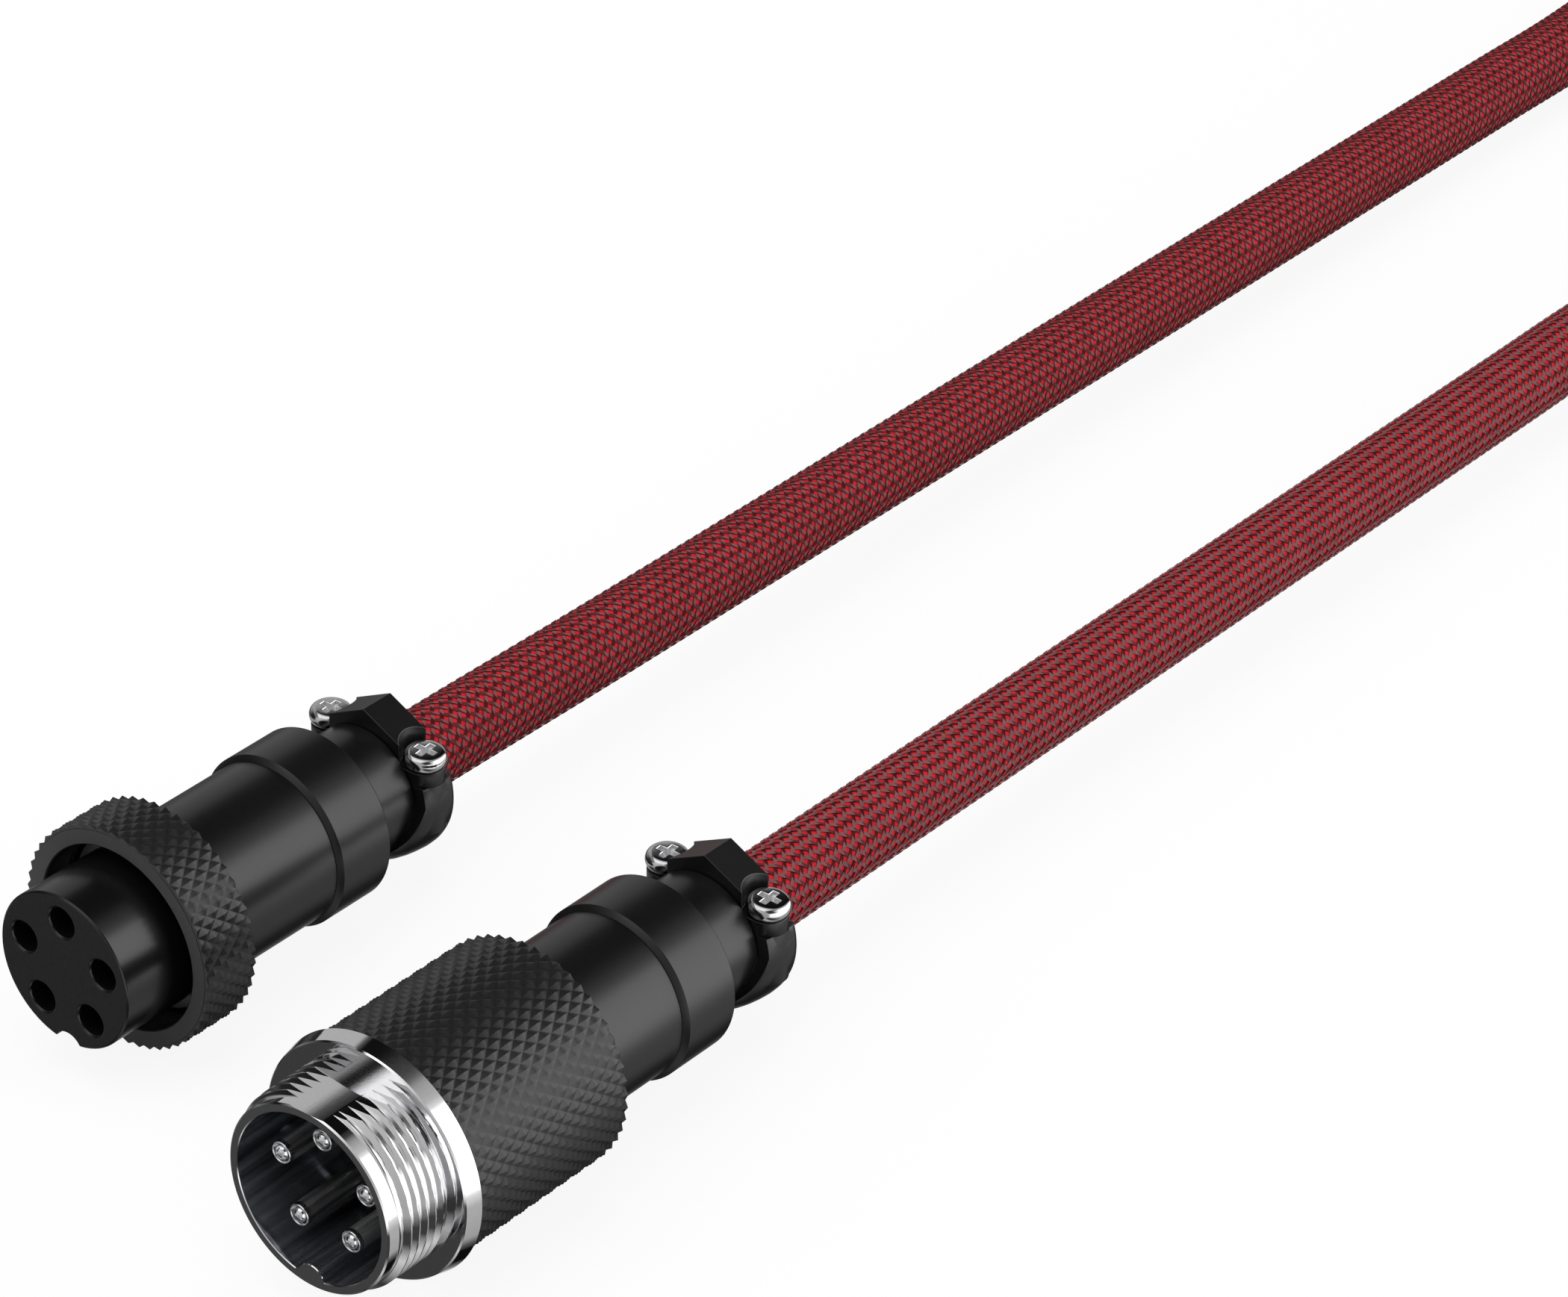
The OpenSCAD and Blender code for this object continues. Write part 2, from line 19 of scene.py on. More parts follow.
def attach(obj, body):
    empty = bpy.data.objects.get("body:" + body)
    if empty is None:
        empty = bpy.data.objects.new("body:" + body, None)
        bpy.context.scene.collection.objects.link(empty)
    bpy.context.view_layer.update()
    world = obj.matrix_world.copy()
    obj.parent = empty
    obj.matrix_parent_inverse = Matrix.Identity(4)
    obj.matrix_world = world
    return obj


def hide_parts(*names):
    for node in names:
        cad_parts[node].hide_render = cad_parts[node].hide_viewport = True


LOG = logging.getLogger("lead")
MM = 0.001
Point = tuple[float, float, float]
Profile = Sequence[tuple[float, float]]
Face = tuple[int, ...]
Axes = tuple[Vector, Vector, Vector]
Radius = Callable[[float], float] | float

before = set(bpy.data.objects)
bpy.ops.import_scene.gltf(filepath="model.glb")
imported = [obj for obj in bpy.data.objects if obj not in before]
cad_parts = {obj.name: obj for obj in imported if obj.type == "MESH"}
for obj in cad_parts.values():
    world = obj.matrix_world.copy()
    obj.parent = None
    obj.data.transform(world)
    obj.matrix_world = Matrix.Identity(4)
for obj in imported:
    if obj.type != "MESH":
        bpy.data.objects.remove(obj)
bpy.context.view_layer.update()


# ------------------------------------------------------------------ sizes


@dataclass(frozen=True)
class Sizes:
    """Driving dimensions of the lead in millimetres, the same as the solid model's."""

    thread_d: float = 16.0
    rim_d: float = 15.1
    rim_w: float = 1.1
    shell_reach: float = 5.9
    flange_d: float = 19.5
    flange_w: float = 1.5
    flange_taper: float = 0.3
    shell_bore_d: float = 13.6
    mouth_depth: float = 9.3
    shell_end: float = 12.4
    shell_spigot_r: float = 7.9
    flat_h: float = 7.4
    key_r: float = 1.25
    key_h: float = 6.95
    ring_d: float = 18.6
    ring_front: float = 5.6
    ring_w: float = 5.2
    contact_circle_d: float = 8.4
    contacts: int = 5
    pin_d: float = 1.8
    pin_tip: float = 1.3
    pin_flange_end: float = 13.4
    pin_root_r: float = 1.15
    pin_shoulder_w: float = 0.3
    sleeve_d: float = 18.65
    sleeve_end: float = 23.7
    plug_barrel_end: float = 22.4
    male_barrel_end: float = 32.8
    clamp_mid: float = 12.175
    screw_offset: float = 4.85
    screw_head_d: float = 3.6
    screw_seat: float = 3.1
    screw_head_h: float = 1.45
    cord_d: float = 6.7
    axis_gap: float = 33.1
    stagger: float = 9.5
    plug_x: float = -13.825

    @property
    def tip(self) -> float:
        """Angle by which the resting plugs lean down to the rear, in radians."""
        drop = (self.flange_d - self.sleeve_d) / 2
        return math.atan(drop / (self.sleeve_end - self.shell_reach - self.flange_w))

    @property
    def flange_end(self) -> float:
        """How far behind the threaded shell's rim its flange ends."""
        return self.shell_reach + self.flange_w

    @property
    def mid_y(self) -> float:
        """The plane halfway between the plugs, which centres the wider one and the narrower one as a pair."""
        return (self.flange_d - self.ring_d) / 4

    @property
    def plug_at(self) -> Point:
        """Where the socket insert's face stands."""
        height = self.ring_d / 2 * math.cos(self.tip) + (self.ring_front + self.ring_w) * math.sin(self.tip)
        return self.plug_x, self.mid_y + self.axis_gap / 2, height

    @property
    def male_at(self) -> Point:
        """Where the threaded shell's rim stands."""
        height = self.flange_d / 2 * math.cos(self.tip) + self.flange_end * math.sin(self.tip)
        return self.plug_x - self.stagger, self.mid_y - self.axis_gap / 2, height


SIZES = Sizes()


@dataclass(frozen=True)
class PlugFrame:
    """A plug's own frame: x runs back along its axis from the mating end, and z points up."""

    origin: Point
    tip: float

    def matrix(self) -> Matrix:
        """Turns local millimetres into the part's metres."""
        shift = Matrix.Translation(Vector(self.origin) * MM)
        return shift @ Matrix.Rotation(self.tip, 4, "Y") @ Matrix.Scale(MM, 4)

    def along(self, distance: float, drop: float = 0.0) -> Vector:
        """A point on the axis, in the part's millimetres.

        Args:
            distance: how far behind the mating end.
            drop: how far under the axis.

        Returns:
            The point.
        """
        step = Vector((math.cos(self.tip), 0.0, -math.sin(self.tip))) * distance
        return Vector(self.origin) + step - Vector((0.0, 0.0, drop))


PLUG = PlugFrame(SIZES.plug_at, SIZES.tip)
MALE = PlugFrame(SIZES.male_at, SIZES.tip)


# ------------------------------------------------------------------ camera and studio


@dataclass(frozen=True)
class Studio:
    """Camera, lamps, backdrop and floor.

    The backdrop is bright and dark in turn round the plugs' axis, so that polished metal looks polished.
    Each of bands, front and ahead gives its brightness by the angle round the axis in degrees: bands to the
    side and to the rear, front obliquely forward, and ahead straight forward.
    """

    lens: float = 148.595
    camera_at: Point = (-281.23, -270.02, 285.94)
    heading: float = 39.21
    dip: float = 32.625
    roll: float = -0.442
    floor_half: float = 3.0
    floor_white: float = 0.9

    bright: float = 2.6
    bands: Profile = (
        (-180, 2.6), (-163, 2.4), (-153, 0.85), (-143, 0.5), (-120, 0.43), (-112, 0.40), (-104, 0.11),
        (-97, 0.005), (-80, 0.005), (-68, 0.2), (-56, 0.6), (-45, 0.6), (-32, 0.3), (-24, 0.12), (-8, 0.12),
        (-2, 0.49), (43.5, 0.49), (47.5, 0.1), (52, 0.005), (94, 0.005), (101, 0.055), (107, 0.3),
        (112, 0.41), (123, 0.6), (129, 1.0), (133, 2.6), (180, 2.6))
    front: Profile = (
        (-180, 1.6), (-152, 1.4), (-140, 0.05), (-118, 0.05), (-104, 0.7), (-80, 0.05), (-38, 0.05),
        (-32, 0.5), (-24, 0.5), (-18, 0.03), (20, 0.01), (32, 0.25), (41, 0.35), (44, 0.01), (48, 0.01),
        (52, 1.3), (104, 1.2), (118, 0.04), (154, 0.04), (164, 1.4), (180, 1.6))
    ahead: Profile = (
        (-180, 0.5), (-120, 0.4), (-60, 0.25), (-20, 0.5), (60, 0.7), (100, 0.55), (180, 0.5))
    front_from: tuple[float, float] = (0.3, -0.3)
    ahead_from: tuple[float, float] = (-0.68, -0.78)
    ambient: float = 0.25

    def build(self) -> None:
        """Makes everything that isn't part of the object."""
        self.camera()
        self.backdrop()
        self.floor()
        self.lamp("key", (420.0, -620.0, 330.0), 0.6, 3.6)
        self.lamp("top", (-60.0, 60.0, 900.0), 0.9, 6.0)
        self.lamp("left", (-500.0, 500.0, 420.0), 0.6, 2.6)
        bpy.context.scene.view_settings.view_transform = "Standard"

    def camera(self) -> None:
        """Stands the camera at the viewing angle."""
        data = bpy.data.cameras.new("camera")
        data.lens = self.lens
        data.sensor_width = 36.0
        data.clip_start = 0.01
        data.clip_end = 20.0
        seat = bpy.data.objects.new("camera", data)
        turn = Matrix.Rotation(math.radians(self.heading - 90), 4, "Z")
        turn = turn @ Matrix.Rotation(math.radians(90 - self.dip), 4, "X")
        turn = turn @ Matrix.Rotation(math.radians(self.roll), 4, "Z")
        seat.matrix_world = Matrix.Translation(Vector(self.camera_at) * MM) @ turn
        bpy.context.scene.collection.objects.link(seat)
        bpy.context.scene.camera = seat

    def backdrop(self) -> None:
        """A white surround that polished metal sees in bands, round the plugs' axis."""
        world = bpy.data.worlds.new("studio")
        bpy.context.scene.world = world
        tree = Tree(world)
        direction = tree.node("ShaderNodeTexCoord").outputs["Generated"]
        x, y, z = tree.node("ShaderNodeSeparateXYZ", Vector=direction).outputs
        angle = tree.math("ARCTAN2", z, y)
        place = tree.math("MULTIPLY_ADD", angle, 0.5 / math.pi, 0.5)
        seen = self.ring(tree, place, self.bands)
        for (start, end), stops in ((self.front_from, self.front), (self.ahead_from, self.ahead)):
            share = tree.node("ShaderNodeMapRange", Value=x, From_Min=start, From_Max=end).outputs["Result"]
            seen = tree.mix_colour(share, seen, self.ring(tree, place, stops))
        rays = tree.node("ShaderNodeLightPath").outputs
        ambient = tree.node("ShaderNodeBackground", Color=(1.0, 1.0, 1.0, 1.0), Strength=self.ambient)
        mirror = tree.node("ShaderNodeBackground", Color=seen, Strength=self.bright)
        white = tree.node("ShaderNodeBackground", Color=(1.0, 1.0, 1.0, 1.0), Strength=1.0)
        through = tree.math("MAXIMUM", rays["Is Glossy Ray"], rays["Is Transmission Ray"])
        shader = tree.mix_shader(through, ambient, mirror)
        shader = tree.mix_shader(rays["Is Camera Ray"], shader, white)
        tree.output("ShaderNodeOutputWorld", shader)

    def ring(self, tree: Tree, place: object, stops: Profile) -> bpy.types.NodeSocket:
        """One ring of brightness round the axis.

        Args:
            tree: the backdrop's tree.
            place: the angle round the axis, as a share of a turn.
            stops: angles in degrees with their brightness.

        Returns:
            The colour socket.
        """
        return tree.ramp(place, [((a + 180) / 360, (v / self.bright,) * 3 + (1.0,)) for a, v in stops])

    def floor(self) -> None:
        """A plain pale floor that keeps the object's soft shadow."""
        half = self.floor_half
        corners = [(-half, -half, 0.0), (half, -half, 0.0), (half, half, 0.0), (-half, half, 0.0)]
        mesh = mesh_of("floor", corners, [(0, 1, 2, 3)])
        plane = bpy.data.objects.new("floor", mesh)
        bpy.context.scene.collection.objects.link(plane)
        material = bpy.data.materials.new("pale_floor")
        tree = Tree(material)
        rays = tree.node("ShaderNodeLightPath").outputs
        pale = tree.node("ShaderNodeBsdfDiffuse", Color=(0.9, 0.9, 0.9, 1.0))
        white = tree.node("ShaderNodeEmission", Color=(1.0, 1.0, 1.0, 1.0), Strength=1.0)
        seen = tree.mix_shader(tree.math("MULTIPLY", rays["Is Camera Ray"], self.floor_white), pale, white)
        clear = tree.node("ShaderNodeBsdfTransparent")
        tree.output("ShaderNodeOutputMaterial", tree.mix_shader(rays["Is Glossy Ray"], seen, clear))
        mesh.materials.append(material)

    def lamp(self, name: str, place: Point, size: float, power: float) -> None:
        """Hangs a square soft light that faces the plugs.

        Args:
            name: its name.
            place: where it hangs, in millimetres.
            size: its side in metres.
            power: its power in watts.
        """
        data = bpy.data.lights.new(name, "AREA")
        data.size = size
        data.energy = power
        lamp = bpy.data.objects.new(name, data)
        lamp.location = Vector(place) * MM
        lamp.visible_glossy = False
        lamp.rotation_euler = (-lamp.location).to_track_quat("-Z", "Y").to_euler()
        bpy.context.scene.collection.objects.link(lamp)


# ------------------------------------------------------------------ finishes


class Tree:
    """A short way to write a node tree."""

    def __init__(self, owner: bpy.types.Material | bpy.types.World) -> None:
        """Empties the owner's node tree.

        Args:
            owner: the material or world whose tree it writes.
        """
        owner.use_nodes = True
        self.tree = owner.node_tree
        self.tree.nodes.clear()

    def node(self, kind: str, props: dict[str, object] | None = None, **inputs: object) -> bpy.types.Node:
        """Adds a node and joins or sets its inputs.

        Args:
            kind: the node's type.
            props: settings of the node itself.
            **inputs: socket names, with _ for a space, and a socket or a value for each.

        Returns:
            The node.
        """
        made = self.tree.nodes.new(kind)
        for name, value in (props or {}).items():
            setattr(made, name, value)
        for name, value in inputs.items():
            self.feed(made.inputs[name.replace("_", " ")], value)
        return made

    def feed(self, socket: bpy.types.NodeSocket, value: object) -> None:
        """Joins a socket to another, or sets its value.

        Args:
            socket: the input socket.
            value: a socket, a node whose first output is meant, or a plain value.
        """
        if isinstance(value, bpy.types.NodeSocket):
            self.tree.links.new(value, socket)
        elif isinstance(value, bpy.types.Node):
            self.tree.links.new(value.outputs[0], socket)
        else:
            socket.default_value = value

    def math(self, operation: str, *values: object) -> bpy.types.NodeSocket:
        """A Math node's result.

        Args:
            operation: the node's operation.
            *values: a socket or a number for each input.

        Returns:
            The result's socket.
        """
        made = self.tree.nodes.new("ShaderNodeMath")
        made.operation = operation
        for socket, value in zip(made.inputs, values):
            self.feed(socket, value)
        return made.outputs[0]

    def ramp(self, value: object, stops: Sequence[tuple[float, tuple[float, ...]]]) -> bpy.types.NodeSocket:
        """A colour ramp's result.

        Args:
            value: what it reads.
            stops: places from 0 to 1 with their colours.

        Returns:
            The colour socket.
        """
        made = self.node("ShaderNodeValToRGB", Fac=value)
        elements = made.color_ramp.elements
        while len(elements) < len(stops):
            elements.new(0.5)
        for element, (place, colour) in zip(elements, stops):
            element.position = place
            element.color = colour
        return made.outputs["Color"]

    def mix_shader(self, factor: object, first: object, second: object) -> bpy.types.NodeSocket:
        """Mixes two shaders.

        Args:
            factor: the share of the second.
            first: the first shader.
            second: the second shader.

        Returns:
            The shader socket.
        """
        made = self.tree.nodes.new("ShaderNodeMixShader")
        for socket, value in zip(made.inputs, (factor, first, second)):
            self.feed(socket, value)
        return made.outputs[0]

    def mix_colour(self, factor: object, first: object, second: object) -> bpy.types.NodeSocket:
        """Mixes two colours.

        Args:
            factor: the share of the second.
            first: the first colour.
            second: the second colour.

        Returns:
            The colour socket.
        """
        made = self.node("ShaderNodeMix", {"data_type": "RGBA"})
        for number, value in ((0, factor), (6, first), (7, second)):
            self.feed(made.inputs[number], value)
        return made.outputs[2]

    def noise(self, vector: object, scale: float, detail: float = 3.0) -> bpy.types.NodeSocket:
        """A noise texture's value."""
        return self.node("ShaderNodeTexNoise", Vector=vector, Scale=scale, Detail=detail).outputs["Fac"]

    def place(self, stretch: Point = (1.0, 1.0, 1.0)) -> bpy.types.NodeSocket:
        """The surface point in the part's metres, stretched along each axis."""
        here = self.node("ShaderNodeTexCoord").outputs["Object"]
        return self.node("ShaderNodeMapping", Vector=here, Scale=stretch).outputs["Vector"]

    def output(self, kind: str, shader: object) -> None:
        """Joins the shader to the tree's output."""
        self.feed(self.tree.nodes.new(kind).inputs["Surface"], shader)


class Grain(Enum):
    """How a finish's fine marks run."""

    EVEN = (1.0, 1.0, 1.0)
    AXIAL = (0.04, 1.0, 1.0)
    TURNED = (1.0, 0.03, 0.03)


@dataclass(frozen=True)
class Finish:
    """A surface finish with fine grain in its gloss, its tone and its relief."""

    name: str
    slot: str
    colour: Point
    metallic: float = 0.0
    roughness: float = 0.4
    spread: float = 0.06
    tone: float = 0.12
    specular: float = 0.5
    grain: Grain = Grain.EVEN
    scale: float = 3000.0
    relief: float = 0.03
    coat: float = 0.0

    def build(self) -> bpy.types.Material:
        """Writes the material.

        Returns:
            The material.
        """
        title = f"{self.name}_finish"
        found = bpy.data.materials.get(title)
        if found:
            return found
        material = bpy.data.materials.new(title)
        tree = Tree(material)
        place = tree.place(self.grain.value)
        fine = tree.noise(place, self.scale)
        broad = tree.noise(place, self.scale / 18, 2.0)
        low, high = self.roughness - self.spread, self.roughness + self.spread
        gloss = tree.node("ShaderNodeMapRange", Value=broad, To_Min=low, To_Max=high).outputs["Result"]
        dark = tuple(c * (1 - self.tone) for c in self.colour) + (1.0,)
        light = tuple(min(1.0, c * (1 + self.tone)) for c in self.colour) + (1.0,)
        colour = tree.ramp(fine, [(0.3, dark), (0.7, light)])
        bump = tree.node("ShaderNodeBump", Height=fine, Strength=self.relief, Distance=0.0001)
        shader = tree.node("ShaderNodeBsdfPrincipled", Base_Color=colour, Roughness=gloss, Normal=bump)
        shader.inputs["Metallic"].default_value = self.metallic
        shader.inputs["Specular IOR Level"].default_value = self.specular
        shader.inputs["Coat Weight"].default_value = self.coat
        tree.output("ShaderNodeOutputMaterial", shader)
        return material


ANODISED = Finish("anodised_black", "anodised_black", (0.005, 0.005, 0.0053), roughness=0.31, spread=0.03)
KNURLED = Finish("knurled_black", "anodised_black", (0.011, 0.011, 0.0115), roughness=0.34, spread=0.03,
                 specular=0.4)
TURNED_FACE = Finish("turned_face", "anodised_black", (0.06, 0.06, 0.061), roughness=0.5, specular=0.2,
                     grain=Grain.TURNED)
MOULDED = Finish("moulded_black", "moulded_black", (0.004, 0.004, 0.0043), roughness=0.25, spread=0.02)
MOULDED_FACE = Finish("moulded_face", "moulded_black", (0.0135, 0.0135, 0.014), roughness=0.5, specular=0.2,
                      relief=0.12)
# The bore's chrome is darker and bluer than the outside's: painted shade inside the mouth. Its axial streaks
# are random grain.
BORE_SHADE_CHROME = Finish("shell_bore_shade", "polished_chrome", (0.42, 0.44, 0.48), 0.93, 0.11, 0.03, 0.8,
                grain=Grain.AXIAL, scale=1100.0)
SHAFT = Finish("pin_shaft", "polished_chrome", (0.72, 0.72, 0.73), 0.85, 0.1, 0.03, 0.95,
               grain=Grain.AXIAL, scale=1500.0)
CHROME = Finish("polished_chrome", "polished_chrome", (0.8, 0.8, 0.81), 1.0, 0.06, 0.02, 0.02, relief=0.01)
SATIN_CHROME = Finish("satin_chrome_face", "polished_chrome", (0.72, 0.72, 0.73), 1.0, 0.2, 0.03, 0.03,
                      grain=Grain.TURNED)
RECESS = Finish("recess_chrome", "dark_chrome", (0.6, 0.6, 0.61), 0.5, 0.3, 0.03, 0.05)
DARK_CHROME = Finish("dark_chrome", "dark_chrome", (0.62, 0.62, 0.63), 1.0, 0.12, 0.03, 0.05)
SPRING = Finish("spring_steel", "spring_steel", (0.3, 0.3, 0.31), 1.0, 0.35)
# The contacts' gold is painted nearly black: painted shade deep in the socket insert's holes.
SHADED_GOLD = Finish("contact_gold", "contact_gold", (0.05, 0.037, 0.018), 1.0, 0.3)
FILM = Finish("clear_film", "clear_film", (0.8, 0.81, 0.78), roughness=0.15)
CORES = Finish("core_insulation", "core_insulation", (0.75, 0.75, 0.74), roughness=0.3)


# ------------------------------------------------------------------ mesh helpers


def link(mesh: bpy.types.Mesh, finishes: Sequence[Finish], name: str) -> bpy.types.Object:
    """Makes an object of a mesh, with its finishes.

    Args:
        mesh: the mesh.
        finishes: one finish for each material index.
        name: the object's name.

    Returns:
        The object.
    """
    for finish in finishes:
        mesh.materials.append(finish.build())
    made = bpy.data.objects.new(name, mesh)
    bpy.context.scene.collection.objects.link(made)
    return made


def mesh_of(name: str, points: Sequence[Point], faces: Sequence[Face],
            kinds: Sequence[int] = ()) -> bpy.types.Mesh:
    """Makes a mesh.

    Args:
        name: the mesh's name.
        points: its points.
        faces: its faces, as numbers of points.
        kinds: each face's material index, where there is more than one.

    Returns:
        The mesh.
    """
    mesh = bpy.data.meshes.new(name)
    mesh.from_pydata(points, [], faces)
    if kinds:
        mesh.polygons.foreach_set("material_index", kinds)
    return mesh


def face_outward(mesh: bpy.types.Mesh) -> None:
    """Turns all faces of a closed mesh outward.

    Args:
        mesh: the mesh.
    """
    work = bmesh.new()
    work.from_mesh(mesh)
    bmesh.ops.recalc_face_normals(work, faces=work.faces)
    work.to_mesh(mesh)
    work.free()


def skin(rows: int, count: int) -> list[Face]:
    """Faces between rows of points that are each closed on themselves.

    Args:
        rows: how many rows there are.
        count: how many points a row has.

    Returns:
        The faces, row by row.
    """
    faces: list[Face] = []
    for j in range(rows - 1):
        near, far = j * count, (j + 1) * count
        faces += [(near + i, near + (i + 1) % count, far + (i + 1) % count, far + i) for i in range(count)]
    return faces


def caps(rows: int, count: int) -> list[Face]:
    """The two faces that close the first and the last row of such a skin."""
    return [tuple(reversed(range(count))), tuple(range((rows - 1) * count, rows * count))]


def smooth(mesh: bpy.types.Mesh, degrees: float) -> None:
    """Shades a mesh smooth, but sharp over edges that turn by more than the angle."""
    mesh.shade_smooth()
    mesh.set_sharp_from_angle(angle=math.radians(degrees))


def settle(piece: bpy.types.Object, body: str, finish: Finish, *nodes: str) -> None:
    """Puts a piece on its body in place of the solids that it stands for.

    Args:
        piece: the piece.
        body: the body that it rides on.
        finish: its main finish; not used.
        *nodes: the solids that it replaces.
    """
    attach(piece, body)
    if nodes:
        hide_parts(*nodes)
    LOG.info("%s rides on %s and stands for %s", piece.name, body, ", ".join(nodes) or "nothing")


def eased(node: str, width: float, steps: int, degrees: float = 28.0) -> bpy.types.Mesh:
    """Copies a solid's mesh and breaks its sharp edges, as a maker's tumbler does.

    Args:
        node: the solid.
        width: width of the broken edge in millimetres.
        steps: facets across the broken edge.
        degrees: the least angle that counts as an edge.

    Returns:
        The new mesh.
    """
    weld, flat = 2e-6, math.radians(0.6)
    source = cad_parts[node].data
    mesh = bpy.data.meshes.new(f"{node}_eased")
    work = bmesh.new()
    work.from_mesh(source)
    bmesh.ops.remove_doubles(work, verts=work.verts, dist=weld)
    bmesh.ops.dissolve_limit(work, angle_limit=flat, verts=work.verts, edges=work.edges)
    limit = math.radians(degrees)
    sharp = [e for e in work.edges if len(e.link_faces) == 2 and e.calc_face_angle(0.0) > limit]
    bmesh.ops.bevel(work, geom=sharp, offset=width * MM, offset_type="OFFSET", segments=steps, profile=0.5,
                    affect="EDGES", clamp_overlap=True)
    work.normal_update()
    work.to_mesh(mesh)
    work.free()
    smooth(mesh, degrees)
    return mesh


def turned(rings: Sequence[tuple[float, Radius]], angles: Sequence[float],
           closed: bool = True) -> tuple[list[Point], list[Face], list[int]]:
    """Sweeps rings round the x axis.

    Args:
        rings: for each ring its station and its radius, which may depend on the angle from the top.
        angles: the angles of the ring's points, in radians.
        closed: whether the last ring joins the first.

    Returns:
        Points, faces, and for each face the number of the ring that it starts from.
    """
    count = len(angles)
    points: list[Point] = []
    for x, radius in rings:
        for angle in angles:
            r = radius(angle) if callable(radius) else radius
            points.append((x, r * math.sin(angle), r * math.cos(angle)))
    faces = skin(len(rings), count)
    if closed:
        last = (len(rings) - 1) * count
        faces += [(last + i, last + (i + 1) % count, (i + 1) % count, i) for i in range(count)]
    return points, faces, [k // count for k in range(len(faces))]


# ------------------------------------------------------------------ plugs


@dataclass
class PlainPieces:
    """Pieces whose solids only need broken edges and a finish."""

    barrel_edge: float = 0.08
    rear_edge: float = 0.25
    insert_edge: float = 0.05
    clip_edge: float = 0.04
    knurl_edge: float = 0.02
    facing: float = 0.995

    def build(self) -> None:
        """Copies, eases and dresses each solid."""
        for node in ("plug_barrel", "male_barrel"):
            self.dress(node, ANODISED, self.barrel_edge, 2)
        for node in ("plug_rear_shell", "male_rear_shell", "plug_saddle", "male_saddle"):
            self.dress(node, ANODISED, self.rear_edge, 3)
        self.dress("socket_insert", MOULDED, self.insert_edge, 2, face=MOULDED_FACE)
        self.dress("ring_clip", SPRING, self.clip_edge, 2)
        self.dress("coupling_ring", KNURLED, self.knurl_edge, 1, "ring", TURNED_FACE)
        self.dress("knurled_sleeve", KNURLED, self.knurl_edge, 1)
        for node, finish in {
            "socket_contacts": SHADED_GOLD, "plug_insulator": FILM, "male_insulator": FILM,
            "plug_core_wires": CORES, "male_core_wires": CORES, "pin_insert": MOULDED,
        }.items():
            self.coat(node, finish)

    def dress(self, node: str, finish: Finish, width: float, steps: int, body: str = "lead",
              face: Finish | None = None) -> None:
        """Puts an eased copy in place of a solid.

        Args:
            node: the solid.
            finish: the piece's finish.
            width: width of its broken edges in millimetres.
            steps: facets across a broken edge.
            body: the body that it rides on.
            face: the finish of the faces that look straight forward, where it is another.
        """
        mesh = eased(node, width, steps)
        finishes = [finish]
        if face:
            finishes.append(face)
            ahead = Vector((-math.cos(SIZES.tip), 0.0, math.sin(SIZES.tip)))
            for polygon in mesh.polygons:
                polygon.material_index = int(polygon.normal.dot(ahead) > self.facing)
        piece = link(mesh, finishes, f"{node}_piece")
        piece.modifiers.new("even_shading", "WEIGHTED_NORMAL").keep_sharp = True
        settle(piece, body, finish, node)

    def coat(self, node: str, finish: Finish) -> None:
        """Gives a solid that stays its finish.

        Args:
            node: the solid.
            finish: its finish.
        """
        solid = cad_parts[node]
        solid.data.materials.clear()
        solid.data.materials.append(finish.build())
        LOG.info("%s stays and is coated", node)


class ShellSide(IntEnum):
    """Which finish a stretch of the threaded shell has."""

    POLISHED = 0
    # The bore, whose chrome is painted darker as shade inside the mouth.
    SATIN = 1
    SHADED_BORE = 2


